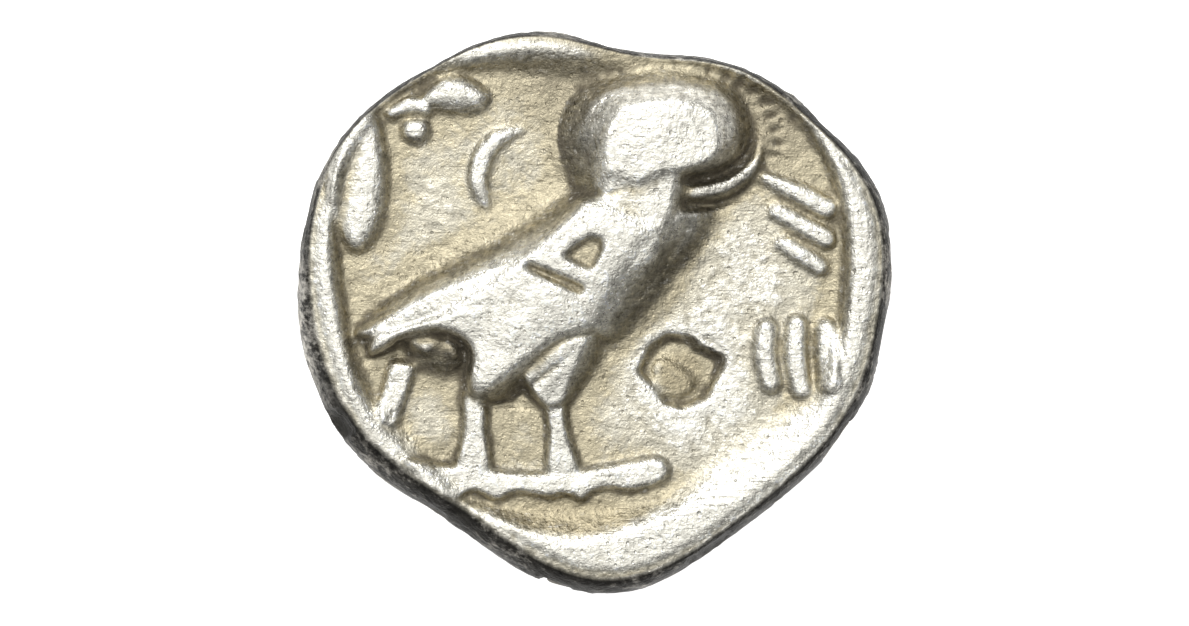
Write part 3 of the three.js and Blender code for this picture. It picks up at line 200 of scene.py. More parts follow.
# Only in this fine surface: lines added to what lies under them, or cut in it.
OWL_FINE = [
    ("rumpLump", "added", "low", 0, None, [
        [-6.92, -1.42, 0.29, 0.12], [-6.58, -1.21, 0.25, 0.1]]),
    ("rumpLumpTwo", "added", "low", 0, None, [
        [-5.83, -1.5, 0.33, 0.15], [-5.62, -1.88, 0.29, 0.12]]),
    ("rumpLumpThree", "added", "low", 0, None, [
        [-6.58, -2, 0.25, 0.1], [-6.17, -2.25, 0.29, 0.12]]),
    ("rumpLumpFour", "added", "low", 0, None, [
        [-7.33, -1.92, 0.25, 0.1], [-7.08, -2.08, 0.25, 0.1]]),
    ("headDome", "added", "low", 0, None, [
        [1.67, 7.92, 2.75, 0.2], [2.5, 7.83, 2.75, 0.22]]),
    ("headDent", "hollow", "low", 0, None, [
        [3.75, 7.08, 0.92, 0.05], [4.42, 7.33, 0.83, 0.05]]),
    ("arcInner", "added", "low", 0, None, [
        [-0.5, 6.92, 0.12, 0.02], [-0.46, 7.67, 0.15, 0.07], [-0.21, 8.33, 0.17, 0.09],
        [0.29, 8.92, 0.17, 0.09], [1.08, 9.29, 0.15, 0.06], [1.67, 9.46, 0.12, 0.02]]),
    ("arcMiddle", "added", "low", 0, None, [
        [-1.08, 6.83, 0.12, 0.03], [-1.17, 7.46, 0.15, 0.07], [-1.04, 8.25, 0.17, 0.08],
        [-0.71, 8.79, 0.17, 0.08], [-0.17, 9.33, 0.15, 0.03]]),
    ("arcOuter", "added", "low", 0, None, [
        [-1.08, 5.58, 0.12, 0.03], [-1.42, 6.25, 0.17, 0.08], [-1.67, 7, 0.17, 0.09],
        [-1.67, 7.67, 0.15, 0.07], [-1.38, 8.5, 0.12, 0.03]]),
    ("arcValley", "hollow", "low", 0, None, [
        [-0.17, 5.5, 0.17, 0.04], [-0.25, 6.17, 0.25, 0.07], [-0.08, 6.92, 0.29, 0.08],
        [0.25, 7.58, 0.29, 0.07], [0.62, 8.17, 0.21, 0.03]]),
    ("arcRight", "added", "low", 0, None, [
        [5.42, 9.08, 0.12, 0.02], [5.92, 8.42, 0.15, 0.05], [6.21, 7.58, 0.15, 0.06],
        [6, 6.83, 0.15, 0.05], [5.42, 6.33, 0.12, 0.02]]),
    ("flankWrinkleA", "hollow", "low", 0, None, [
        [-0.42, 5.75, 0.1, 0.04], [0.17, 5.58, 0.12, 0.07], [0.75, 5.67, 0.1, 0.03]]),
    ("flankWrinkleB", "hollow", "low", 0, None, [
        [-0.33, 6.33, 0.1, 0.03], [0.08, 6.08, 0.12, 0.06], [0.5, 6.17, 0.1, 0.03]]),
    ("headCrease", "hollow", "low", 0, None, [
        [-0.5, 5.25, 0.12, 0.08], [0.08, 5.04, 0.15, 0.14], [0.75, 4.96, 0.15, 0.14],
        [1.17, 5.17, 0.12, 0.05]]),
    ("pitNeckA", "hollow", "low", 0, None, [
        [1.62, 5.12, 0.1, 0.06], [1.71, 4.96, 0.1, 0.06]]),
    ("pitNeckB", "hollow", "low", 0, None, [
        [2.75, 4.96, 0.1, 0.06], [2.96, 4.75, 0.12, 0.08]]),
    ("headRim", "hollow", "low", 0, None, [
        [6.25, 9, 0.12, 0.05], [6.62, 8.33, 0.15, 0.1], [6.75, 7.67, 0.17, 0.14], [6.58, 6.92, 0.19, 0.2],
        [6.12, 6.38, 0.21, 0.24], [5.42, 5.96, 0.23, 0.26], [4.58, 5.67, 0.21, 0.24],
        [3.75, 5.54, 0.17, 0.14]]),
    ("chinShade", "hollow", "low", 0, None, [
        [3.42, 4.75, 0.17, 0.1], [4.08, 4.58, 0.23, 0.2], [5.08, 4.58, 0.25, 0.22],
        [5.92, 4.83, 0.23, 0.16], [6.67, 5.33, 0.17, 0.08]]),
    ("breastLineA", "added", "low", 0, None, [
        [4.46, 4.25, 0.17, 0.04], [4.08, 3.25, 0.25, 0.08], [3.33, 2.17, 0.25, 0.08],
        [2.42, 1, 0.25, 0.06], [1.5, 0, 0.21, 0.04]]),
    ("breastLineB", "added", "low", 0, None, [
        [3.75, 4.33, 0.17, 0.03], [3.42, 3.5, 0.21, 0.06], [2.75, 2.5, 0.21, 0.06], [2, 1.5, 0.21, 0.05]]),
    ("wingLineA", "added", "low", 0, None, [
        [-8.75, -0.25, 0.12, 0.03], [-7.42, 0.5, 0.21, 0.06], [-5.75, 1.38, 0.21, 0.06],
        [-3.67, 2.58, 0.21, 0.05]]),
    ("wingLineB", "hollow", "low", 0, None, [
        [-8.92, -0.92, 0.12, 0.03], [-7.83, -0.42, 0.17, 0.06], [-6.08, 0.12, 0.21, 0.06],
        [-4.25, 0.42, 0.17, 0.03]]),
    ("tipLineA", "hollow", "low", 0, None, [
        [-9.92, -0.62, 0.08, 0.03], [-9.12, -0.12, 0.1, 0.08], [-8.25, 0.29, 0.08, 0.04]]),
    ("tipLineB", "hollow", "low", 0, None, [
        [-9.79, -1.96, 0.08, 0.04], [-8.88, -1.75, 0.1, 0.12], [-8.08, -1.5, 0.1, 0.1]]),
    ("tipRidge", "added", "low", 0, None, [
        [-9.67, -0.38, 0.17, 0.03], [-8.92, 0.12, 0.21, 0.1], [-7.92, 0.67, 0.21, 0.06]]),
    ("thighCrease", "hollow", "low", 0, None, [
        [-0.5, -1.33, 0.12, 0.03], [-1.17, -1.88, 0.17, 0.07], [-2.25, -2.75, 0.21, 0.11],
        [-3.42, -3.62, 0.23, 0.13], [-4.58, -3.83, 0.19, 0.1]]),
    ("shinCrease", "hollow", "low", 0, None, [
        [-4.42, -3.75, 0.17, 0.06], [-3.42, -3.71, 0.19, 0.12], [-2.42, -3.92, 0.17, 0.06]]),
    ("rumpEdge", "hollow", "low", 0, None, [
        [-7.92, -1.42, 0.12, 0.06], [-7.67, -1.08, 0.12, 0.1], [-6.75, -0.92, 0.12, 0.08],
        [-5.75, -1.17, 0.15, 0.1], [-5.33, -1.75, 0.17, 0.12], [-5.33, -2.67, 0.17, 0.14],
        [-5.25, -3.42, 0.17, 0.12]]),
    ("tailSplit", "hollow", "low", 0, None, [
        [-7.83, -3.67, 0.08, 0.03], [-8.25, -4.17, 0.12, 0.1], [-8.58, -4.58, 0.12, 0.1]]),
    ("wingSlit", "hollow", "low", 0, None, [
        [-1.83, 2.5, 0.08, 0.05], [-1.46, 2.92, 0.1, 0.12], [-1.04, 3.33, 0.08, 0.08]]),
    ("punchNick", "hollow", "low", 0, None, [
        [4.42, -0.88, 0.08, 0.05], [5, -1.21, 0.12, 0.14], [5.58, -1.67, 0.08, 0.06]]),
    ("punchNickTwo", "hollow", "low", 0, None, [
        [4.79, -1.75, 0.08, 0.05], [5.08, -1.88, 0.1, 0.1], [5.33, -2, 0.08, 0.05]]),
    ("oliveStalk", "added", "low", 0, None, [
        [-7.54, 8.33, 0.1, 0.06], [-7.12, 8.42, 0.12, 0.1], [-6.75, 8.25, 0.1, 0.06]]),
    ("barb1", "hollow", "low", 0, None, [
        [4.8, 10.01, 0.13, 0.1], [4.89, 10.2, 0.14, 0.2], [5, 10.42, 0.12, 0.1]]),
    ("barb2", "hollow", "low", 0, None, [
        [5.45, 9.77, 0.13, 0.1], [5.58, 9.93, 0.14, 0.2], [5.73, 10.13, 0.12, 0.1]]),
    ("barb3", "hollow", "low", 0, None, [
        [6.02, 9.53, 0.13, 0.1], [6.18, 9.67, 0.14, 0.2], [6.37, 9.83, 0.12, 0.1]]),
    ("barb4", "hollow", "low", 0, None, [
        [6.51, 9.17, 0.13, 0.1], [6.69, 9.27, 0.14, 0.2], [6.9, 9.4, 0.12, 0.1]]),
    ("barb5", "hollow", "low", 0, None, [
        [6.92, 8.72, 0.13, 0.1], [7.12, 8.8, 0.14, 0.2], [7.35, 8.89, 0.12, 0.1]]),
    ("barb6", "hollow", "low", 0, None, [
        [7.21, 8.23, 0.13, 0.1], [7.41, 8.28, 0.14, 0.2], [7.66, 8.34, 0.12, 0.1]]),
    ("barb7", "hollow", "low", 0, None, [
        [7.42, 7.7, 0.13, 0.1], [7.62, 7.72, 0.14, 0.2], [7.87, 7.74, 0.12, 0.1]]),
    ("barb8", "hollow", "low", 0, None, [
        [7.5, 7.17, 0.13, 0.1], [7.71, 7.16, 0.14, 0.2], [7.96, 7.15, 0.12, 0.1]]),
    ("barb9", "hollow", "low", 0, None, [
        [7.38, 6.64, 0.13, 0.1], [7.58, 6.6, 0.14, 0.2], [7.83, 6.56, 0.12, 0.1]]),
]

HEAD_FORMS = [
    ("bowl", "plateau", "swell", 0.14, [0.8, 0, 0], [
        [-10.4, 2.21, 3.7], [-9.91, 4.55, 3.7], [-8.35, 6.81, 3.28], [-6.3, 8.86, 2.87],
        [-3.87, 10.42, 2.3], [-1.2, 11.16, 1.89], [1.67, 11.41, 1.64], [4.34, 11.08, 1.64],
        [6.02, 9.76, 1.64], [4.96, 7.22, 1.64], [0.85, 4.34, 1.64], [-3.67, 2.21, 2.05],
        [-5.64, -0.58, 1.81], [-6.05, -2.31, 1.64], [-7.69, -3.29, 1.64], [-9.17, -2.31, 2.46],
        [-10.07, -0.17, 3.28]]),
    ("hairGround", "plateau", "swell", 0.16, [0.52, 0, 0], [
        [-5.72, 2.7, 1.48], [-2.85, 5.17, 1.64], [1.26, 5.58, 1.64], [5.37, 7.63, 1.64],
        [7.01, 5.17, 1.81], [5.37, -0.58, 2.46], [3.31, -5.1, 2.46], [2.08, -7.56, 1.23],
        [2.08, -11.42, 0.99], [-2.03, -11.59, 1.23], [-4.69, -10.23, 1.48], [-5.8, -7.56, 1.48],
        [-6.13, -4.69, 1.23], [-6.3, -0.99, 1.15]]),
    ("neckFront", "plateau", "swell", 0.14, [0.84, 0, 0], [
        [-2.03, -4.28, 2.87], [0.77, -4.28, 2.46], [1.88, -7.15, 2.05], [2.25, -9.41, 1.89],
        [2.57, -11.51, 1.23], [-0.38, -11.75, 1.64], [-3.05, -11.34, 2.46], [-3.75, -8.38, 2.87]]),
    ("neckRound", "added", "low", 0, None, [
        [-0.14, -7.56, 1.81, 0.3], [-0.05, -9.53, 2.05, 0.56], [0.03, -10.44, 1.81, 0.5]]),
    ("visor", "ridge", "swell", 0.08, None, [
        [-4.9, 3.85, 1.07, 1.12], [-2.44, 5.41, 1.72, 1.34], [0.23, 6.97, 2.14, 1.44],
        [2.82, 8.45, 2.26, 1.47], [4.63, 9.19, 1.97, 1.38], [5.61, 9.27, 1.4, 1.1]]),
    ("visorRoll", "ridge", "low", 0.05, None, [
        [-4.24, 3.11, 0.53, 1.05], [-2.03, 4.18, 0.57, 1.18], [0.52, 5.33, 0.62, 1.22],
        [2.98, 6.48, 0.62, 1.2], [5.12, 7.71, 0.57, 1.1]]),
    ("leafBack", "plateau", "swell", 0.05, [1.22, 0, 0], [
        [-6.13, 9.19, 0.7], [-4.98, 9.76, 0.7], [-3.83, 8.94, 0.74], [-3.26, 7.3, 0.78],
        [-3.42, 5.99, 0.74], [-4.32, 5.41, 0.7], [-5.39, 6.48, 0.74], [-6.09, 7.96, 0.74]]),
    ("leafMiddle", "plateau", "swell", 0.05, [1.22, 0, 0], [
        [-3.42, 10.59, 0.7], [-2.27, 11, 0.7], [-1.2, 10.01, 0.74], [-0.83, 8.7, 0.74],
        [-1.29, 7.3, 0.7], [-2.31, 7.55, 0.7], [-3.17, 8.94, 0.74]]),
    ("leafFront", "plateau", "swell", 0.05, [1.16, 0, 0], [
        [-0.46, 11.16, 0.49], [0.85, 11.65, 0.49], [2.16, 11.16, 0.49], [2.08, 10.17, 0.49],
        [0.93, 9.6, 0.49], [-0.14, 10.26, 0.49]]),
    ("leafGap", "hollow", "low", 0, None, [
        [-6.54, 9.03, 0.49, 0.14], [-6.13, 7.38, 0.49, 0.16], [-4.82, 5.58, 0.49, 0.14]]),
    ("leafGapTwo", "hollow", "low", 0, None, [
        [-3.75, 10.26, 0.45, 0.14], [-3.26, 8.7, 0.49, 0.2], [-2.76, 7.22, 0.49, 0.2]]),
    ("leafGapThree", "hollow", "low", 0, None, [
        [-0.71, 10.83, 0.45, 0.14], [-0.55, 9.52, 0.49, 0.18], [-0.96, 8.04, 0.45, 0.16]]),
    ("crestFoot", "ridge", "swell", 0.05, None, [
        [2.33, 11.16, 0.37, 1.1], [3.31, 11.24, 0.45, 1.24], [4.46, 10.91, 0.45, 1.14]]),
    ("scrollStem", "added", "low", 0, None, [
        [-8.51, 4.18, 0.45, 0.14], [-7.69, 5.25, 0.49, 0.2], [-6.54, 5.17, 0.49, 0.2],
        [-6.3, 4.18, 0.45, 0.18], [-7.12, 3.69, 0.41, 0.14]]),
    ("scrollLeaf", "added", "low", 0, None, [
        [-6.13, 5.74, 0.53, 0.14], [-5.39, 4.51, 0.62, 0.2], [-5.31, 3.44, 0.49, 0.14]]),
    ("scrollTail", "added", "low", 0, None, [
        [-7.45, 2.87, 0.49, 0.12], [-7.86, 1.47, 0.57, 0.18], [-7.36, -0.01, 0.49, 0.12]]),
    ("hairBand", "ridge", "swell", 0.07, None, [
        [-2.6, 3.44, 0.57, 0.95], [0.03, 3.69, 0.82, 1.06], [2.08, 4.26, 0.9, 1.08],
        [4.05, 5.17, 0.9, 1.02], [5.61, 6.32, 0.74, 0.92]]),
    ("hairKnob", "ridge", "swell", 0.05, None, [
        [-1.53, 2.7, 2.22, 1.42], [-0.79, 2.54, 2.22, 1.42]]),
    ("templeLock", "ridge", "swell", 0.06, None, [
        [-2.44, 4.26, 1.15, 1.12], [-3.91, 3.44, 1.56, 1.3], [-4.9, 1.96, 1.68, 1.36],
        [-4.98, 0.16, 1.68, 1.36], [-4.16, -1.24, 1.56, 1.32], [-3.01, -1.81, 1.23, 1.18]]),
    ("hairBridge", "ridge", "swell", 0.06, None, [
        [-3.5, 3.28, 0.9, 1.1], [-2.44, 2.95, 1.07, 1.16], [-1.53, 2.7, 1.07, 1.1]]),
    ("earRing", "ridge", "swell", 0.05, None, [
        [-2.52, -2.47, 1.81, 1.42], [-1.98, -2.72, 1.81, 1.42]]),
    ("neckLock", "ridge", "swell", 0.06, None, [
        [-4.49, -2.96, 0.99, 1], [-4, -4.85, 1.48, 1.34], [-3.17, -6.99, 1.48, 1.4],
        [-2.27, -8.63, 0.99, 1.1]]),
    ("neckLockTwo", "ridge", "swell", 0.06, None, [
        [-5.88, -3.62, 0.57, 0.6], [-5.64, -5.43, 0.7, 0.72], [-4.9, -7.23, 0.7, 0.72],
        [-4.16, -8.38, 0.57, 0.64]]),
    ("napeLock", "ridge", "swell", 0.05, None, [
        [-5.47, -8.38, 0.53, 0.8], [-4.24, -9.21, 0.66, 0.94], [-2.76, -9.04, 0.62, 0.94],
        [-1.7, -8.63, 0.49, 0.8]]),
    ("knobShade", "hollow", "low", 0, None, [
        [0.93, 3.85, 0.41, 0.1], [1.26, 2.21, 0.53, 0.22], [0.11, 0.57, 0.53, 0.22], [-1.7, 0.16, 0.41, 0.12]]),
    ("earShade", "hollow", "low", 0, None, [
        [-0.14, -1.65, 0.37, 0.1], [0.03, -3.13, 0.49, 0.18], [-1.12, -4.44, 0.45, 0.14]]),
]


def face_forms():
    """A plain ideal face of its own, hung from the helmet and the ear ring and set out on equal thirds."""
    hair = HAIRLINE
    third = (HAIRLINE - EAR_LEVEL) / 2
    chin = hair - 3 * third
    brow = hair - third
    nose = brow - third
    mouth = nose - third * 0.34
    front = VISOR_END
    return [
        ("profile", "plateau", "swell", 0.12, [1, 0, 0], [
            [front - 1, hair + 0.05 * third, 1.5], [front - 0.3, hair - 0.3 * third, 1.5],
            [front + 0.02, brow + 0.35 * third, 1.4], [front + 0.1, brow + 0.06 * third, 1.3],
            [front - 0.04, brow - 0.18 * third, 1.2], [front + 0.3, brow - 0.46 * third, 1.1],
            [front + 0.82, nose + 0.3 * third, 1], [front + 1.24, nose + 0.14 * third, 0.9],
            [front + 1.02, nose + 0.01 * third, 0.9], [front + 0.42, nose - 0.03 * third, 0.9],
            [front + 0.34, nose - 0.17 * third, 0.9], [front + 0.52, mouth + 0.08 * third, 0.9],
            [front + 0.34, mouth, 0.9], [front + 0.42, mouth - 0.1 * third, 0.9],
            [front + 0.08, mouth - 0.25 * third, 1], [front + 0.22, chin + 0.22 * third, 1.1],
            [front - 0.14, chin + 0.05 * third, 1.2], [front - 1.1, chin, 1.3],
            [front - 3, chin + 0.14 * third, 1.5], [front - 5.2, chin + 0.4 * third, 1.7],
            [front - 7.6, chin + 0.8 * third, 1.9], [front - 9.7, nose + 0.25 * third, 2],
            [front - 10.4, brow - 0.4 * third, 2], [front - 9.4, brow + 0.25 * third, 1.8],
            [front - 6.4, hair - 0.42 * third, 1.7], [front - 3, hair - 0.02 * third, 1.6]]),
        ("forehead", "added", "low", 0, None, [
            [front - 3, brow + 0.45 * third, 2.2, 0.12], [front - 1.6, brow + 0.5 * third, 1.9, 0.1]]),
        ("cheek", "added", "low", 0, None, [
            [front - 4.4, nose + 0.3 * third, 2.7, 0.38], [front - 3.2, nose - 0.02 * third, 2.5, 0.32]]),
        ("jaw", "added", "low", 0, None, [
            [front - 6, nose - 0.3 * third, 1.7, 0.14], [front - 2, chin + 0.3 * third, 1.5, 0.14]]),
        ("browRidge", "added", "low", 0, None, [
            [front - 4.1, brow - 0.02 * third, 0.6, 0.08], [front - 2.5, brow + 0.09 * third, 0.7, 0.2],
            [front - 0.8, brow + 0.02 * third, 0.65, 0.18]]),
        ("noseBridge", "added", "low", 0, None, [
            [front - 0.7, brow - 0.1 * third, 0.6, 0.1], [front - 0.3, brow - 0.5 * third, 0.65, 0.26],
            [front + 0.22, nose + 0.27 * third, 0.72, 0.34],
            [front + 0.48, nose + 0.16 * third, 0.62, 0.3]]),
        ("noseWing", "added", "low", 0, None, [
            [front - 0.42, nose + 0.15 * third, 0.5, 0.14],
            [front - 0.3, nose + 0.12 * third, 0.46, 0.14]]),
        ("eyeSocket", "hollow", "low", 0, None, [
            [front - 3, brow - 0.28 * third, 0.95, 0.24], [front - 1.4, brow - 0.24 * third, 0.95, 0.36]]),
        ("eyeBall", "added", "low", 0, None, [
            [front - 2.7, brow - 0.29 * third, 0.52, 0.2], [front - 1.8, brow - 0.27 * third, 0.52, 0.22]]),
        ("upperLid", "added", "low", 0, None, [
            [front - 3.5, brow - 0.33 * third, 0.15, 0.05], [front - 2.8, brow - 0.17 * third, 0.18, 0.14],
            [front - 1.9, brow - 0.14 * third, 0.18, 0.15],
            [front - 1.15, brow - 0.25 * third, 0.16, 0.1]]),
        ("lowerLid", "added", "low", 0, None, [
            [front - 3.4, brow - 0.36 * third, 0.14, 0.05], [front - 2.5, brow - 0.44 * third, 0.16, 0.1],
            [front - 1.7, brow - 0.41 * third, 0.16, 0.1], [front - 1.15, brow - 0.3 * third, 0.14, 0.06]]),
        ("noseCrease", "hollow", "low", 0, None, [
            [front - 0.85, nose + 0.3 * third, 0.2, 0.06], [front - 1, nose + 0.12 * third, 0.22, 0.12],
            [front - 0.62, nose - 0.02 * third, 0.2, 0.1]]),
        ("upperLip", "added", "low", 0, None, [
            [front - 1.2, mouth + 0.02 * third, 0.22, 0.06],
            [front - 0.5, mouth + 0.09 * third, 0.34, 0.18],
            [front + 0.3, mouth + 0.09 * third, 0.4, 0.22]]),
        ("lowerLip", "added", "low", 0, None, [
            [front - 1.1, mouth - 0.05 * third, 0.22, 0.06],
            [front - 0.5, mouth - 0.12 * third, 0.34, 0.18],
            [front + 0.2, mouth - 0.12 * third, 0.4, 0.22]]),
        ("mouthLine", "hollow", "low", 0, None, [
            [front - 1.4, mouth - 0.01 * third, 0.2, 0.1], [front - 0.5, mouth - 0.005 * third, 0.17, 0.2],
            [front + 0.3, mouth - 0.01 * third, 0.17, 0.2]]),
        ("lipHollow", "hollow", "low", 0, None, [
            [front - 0.9, mouth - 0.27 * third, 0.4, 0.06],
            [front - 0.1, mouth - 0.27 * third, 0.42, 0.1]]),
        ("chinBall", "added", "low", 0, None, [
            [front - 1.3, chin + 0.25 * third, 1.2, 0.3], [front - 0.8, chin + 0.26 * third, 1.15, 0.3]]),
        ("jawShade", "hollow", "low", 0, None, [
            [front - 7.2, chin + 0.5 * third, 0.6, 0.1], [front - 5, chin + 0.18 * third, 0.8, 0.2],
            [front - 2.4, chin - 0.12 * third, 0.8, 0.2]]),
    ]


PUNCHES = [
    (0.5, 0.22, [(2, -2.38), (2.42, -1.42), (3.12, -0.92), (4, -1), (4.42, -1.38), (5.42, -1.83), (5.33, -2.25), (4.96, -2.92), (4.75, -3.42), (3.75, -3.83), (3.08, -3.67), (2.58, -2.96)]),
    (0.34, 0.09, [(-1.17, 2.38), (-0.67, 2.88), (-0.12, 3.17), (0.38, 3.12), (0.38, 2.67), (-0.04, 1.88), (-0.5, 2.04)]),
    (0.36, 0.1, [(-2.75, 2.08), (-2.54, 2.08), (-0.42, 1.17), (-0.38, 0.96), (-0.54, 0.88), (-2.75, 1.88)]),
]
PUNCH_CORE = ("punchCore", "plateau", "slope", 0, [0.24, -0.04, -0.05], [
    [2.25, -2.42, 0.38], [2.5, -1.83, 0.38], [3.08, -1.62, 0.5], [3.75, -1.92, 0.58], [4.33, -2.33, 0.58], [4.5, -3, 0.5], [4.08, -3.5, 0.38], [3.42, -3.67, 0.33], [2.83, -3.42, 0.33], [2.46, -2.96, 0.33]])

# ------------------------------------------------------------------ height of the forms on a grid
AXIS = np.arange(-HALF, HALF + CELL / 2, CELL)
GX, GY = np.meshgrid(AXIS, AXIS)


def step(a, b, v):
    t = np.clip((v - a) / (b - a), 0, 1)
    return t * t * (3 - 2 * t)


def soft_max(a, b, k):
    h = np.clip(0.5 + 0.5 * (a - b) / k, 0, 1)
    return b * (1 - h) + a * h + k * h * (1 - h)


FLANKS = {
    "swell": lambda q: (1 - q * q) ** 0.9,
    "low": lambda q: (1 - q * q) ** 1.4,
    "rise": lambda q: 1 - q**2.3,
    "slope": lambda q: 1 - q * q * (3 - 2 * q),
    "worn": lambda q: 1 - step(0.5, 1, q),
    "bank": lambda q: 1 - q,
}


def smooth_rows(rows, per_span, closed):
    p = np.asarray(rows, float)
    n = len(p)
    ext = np.vstack([p[-1:], p, p[:2]]) if closed else np.vstack([2 * p[0] - p[1], p, 2 * p[-1] - p[-2]])
    out = []
    for i in range(n if closed else n - 1):
        a, b, c, d = ext[i : i + 4]
        for j in range(per_span):
            t = j / per_span
            out.append(0.5 * (2 * b + (c - a) * t + (2 * a - 5 * b + 4 * c - d) * t**2
                              + (3 * b - a - 3 * c + d) * t**3))
    if not closed:
        out.append(p[-1])
    return np.array(out)


def off_segment(x, y, a, b):
    dx, dy = b[0] - a[0], b[1] - a[1]
    t = np.clip(((x - a[0]) * dx + (y - a[1]) * dy) / (dx * dx + dy * dy + 1e-12), 0, 1)
    return t, np.hypot(x - a[0] - t * dx, y - a[1] - t * dy)


def crosses(x, y, a, b):
    return ((a[1] > y) != (b[1] > y)) & (x < (b[0] - a[0]) * (y - a[1]) / (b[1] - a[1] + 1e-12) + a[0])


def window(u, v, line, reach):
    """The grid points that a form can touch."""
    return np.nonzero((u > line[:, 0].min() - reach) & (u < line[:, 0].max() + reach)
                      & (v > line[:, 1].min() - reach) & (v < line[:, 1].max() + reach))


def height_of(form, u, v):
    """The grid points inside a form and its height there."""
    _, kind, flank, _, top, rows = form
    flat = kind == "plateau"
    line = smooth_rows(rows, 5 if flat else 6, flat)
    where = window(u, v, line, 0 if flat else line[:, 2].max())
    x, y = u[where], v[where]
    if not flat:
        best = np.full(x.shape, -9.0)
        for a, b in zip(line[:-1], line[1:]):
            t, off = off_segment(x, y, a, b)
            q = off / (a[2] + (b[2] - a[2]) * t)
            h = (a[3] + (b[3] - a[3]) * t) * FLANKS[flank](np.clip(q, 0, 1))
            best = np.where(q < 1, np.maximum(best, h), best)
        ok = best > -8
        return tuple(w[ok] for w in where), best[ok]
    q = np.ones(x.shape)
    inside = np.zeros(x.shape, bool)
    for i in range(len(line)):
        a, b = line[i], line[(i + 1) % len(line)]
        t, off = off_segment(x, y, a, b)
        q = np.minimum(q, off / (a[2] + (b[2] - a[2]) * t))
        inside ^= crosses(x, y, a, b)
    cx, cy = line[:, 0].mean(), line[:, 1].mean()
    h = (top[0] + top[1] * (x - cx) + top[2] * (y - cy)) * FLANKS["rise" if flank == "swell" else flank](1 - q)
    return tuple(w[inside] for w in where), h[inside]


def raise_forms(forms, u, v):
    total = np.zeros(u.shape)
    for form in forms:
        where, h = height_of(form, u, v)
        if form[1] == "hollow":
            total[where] -= h
        elif form[1] == "added":
            total[where] += h
        else:
            total[where] = soft_max(total[where], h, form[3])
    return total


def outside_by(corners, x, y):
    d = np.full(x.shape, 1e9)
    inside = np.zeros(x.shape, bool)
    for i in range(len(corners)):
        a, b = corners[i], corners[(i + 1) % len(corners)]
        d = np.minimum(d, off_segment(x, y, a, b)[1])
        inside ^= crosses(x, y, a, b)
    return np.where(inside, -d, d)


def blur(grid, size):
    """Gaussian smoothing over about size mm."""
    n = int(math.ceil(3 * size / CELL))
    k = np.exp(-0.5 * (np.arange(-n, n + 1) * CELL / size) ** 2)
    k /= k.sum()
    for axis in (0, 1):
        pad = [(0, 0), (0, 0)]
        pad[axis] = (n, n)
        wide = np.pad(grid, pad, mode="edge")
        out = np.zeros_like(grid)
        for i, w in enumerate(k):
            out += w * (wide[i : i + grid.shape[0]] if axis == 0 else wide[:, i : i + grid.shape[1]])
        grid = out
    return grid


def speckle(u, v, size, seed):
    """Smooth noise of about unit size, with lumps of the given size in mm."""
    rng = np.random.default_rng(seed)
    c, s = math.cos(0.61 * seed), math.sin(0.61 * seed)
    u, v = c * u - s * v, s * u + c * v
    n = int(2 * 21 / size) + 4
    table = rng.standard_normal((n, n))
    x, y = (u + 21) / size, (v + 21) / size
    i, j = np.floor(x).astype(int) % (n - 1), np.floor(y).astype(int) % (n - 1)
    fx, fy = x - np.floor(x), y - np.floor(y)
    fx, fy = fx * fx * (3 - 2 * fx), fy * fy * (3 - 2 * fy)
    low = table[j, i] * (1 - fx) + table[j, i + 1] * fx
    high = table[j + 1, i] * (1 - fx) + table[j + 1, i + 1] * fx
    return low * (1 - fy) + high * fy


# ------------------------------------------------------------------ the owl side
ANGLE = np.arctan2(GY, GX)
RADIUS = np.hypot(GX, GY)


# where the step from the field to the rim is gentle: direction in degrees, spread in radians, amount
RIM_SOFTER = [(-40, 0.4, 1.9), (92, 0.4, 0.9), (-93, 0.3, 1.0), (-147, 0.25, 0.9)]


def owl_grid():
    def from_turn(degrees):
        return np.arctan2(np.sin(ANGLE - math.radians(degrees)), np.cos(ANGLE - math.radians(degrees)))

    soft = 0.5
    for turn_, span_, amount in RIM_SOFTER:
        soft = soft + amount * np.exp(-((from_turn(turn_) / span_) ** 2))
    z = OWL_FIELD + (OWL_LAND - OWL_FIELD) * step(-soft * 0.8, soft * 0.4, RADIUS - incuse(ANGLE))
    relief = raise_forms(OWL_FORMS + OWL_FINE, GX, GY)
    z = z + relief
    for depth, lip, corners in PUNCHES:
        z = z - depth * step(lip, -lip, outside_by(corners, GX, GY))
    where, h = height_of(PUNCH_CORE, GX, GY)
    z[where] += h
    z = z - 0.16 * step(-0.45, 0, RADIUS - outline(ANGLE) + owl_shoulder(ANGLE))
    return z, relief


def head_grid():
    c, s = math.cos(math.radians(HEAD_AXIS)), math.sin(math.radians(HEAD_AXIS))
    dx, dy = GX - HEAD_SHIFT[0], GY - HEAD_SHIFT[1]
    right, up = c * dx + s * dy, s * dx - c * dy
    off = RADIUS - outline(ANGLE) + head_shoulder(ANGLE)
    lip = (0.24 + 0.07 * np.cos(3 * ANGLE + 0.6)) * np.exp(-(((off + 0.12) / 0.22) ** 2))
    face = face_forms()
    relief = raise_forms(face[:-1] + HEAD_FORMS + face[-1:], right, up) * (1 - step(-1.2, 0.1, off))
    z = HEAD_FIELD - 0.2 * step(-2.2, -0.3, off) - lip - relief
    return z + 0.1 * step(-0.3, 0, off), relief


def finish_grid(z, wear, seed, sign):
    """Wear, small lumps and pits. sign is 1 where the surface faces up."""
    z = blur(z, wear)
    high = np.clip(sign * (z - blur(z, 1.2)) / 0.35, -1, 1)
    grain = 0.010 * speckle(GX, GY, 0.42, seed) + 0.006 * speckle(GX, GY, 0.19, seed + 1)
    grain += 0.016 * speckle(GX, GY, 1.1, seed + 2)
    return z + sign * grain * (1 - 0.4 * np.clip(high, 0, 1))


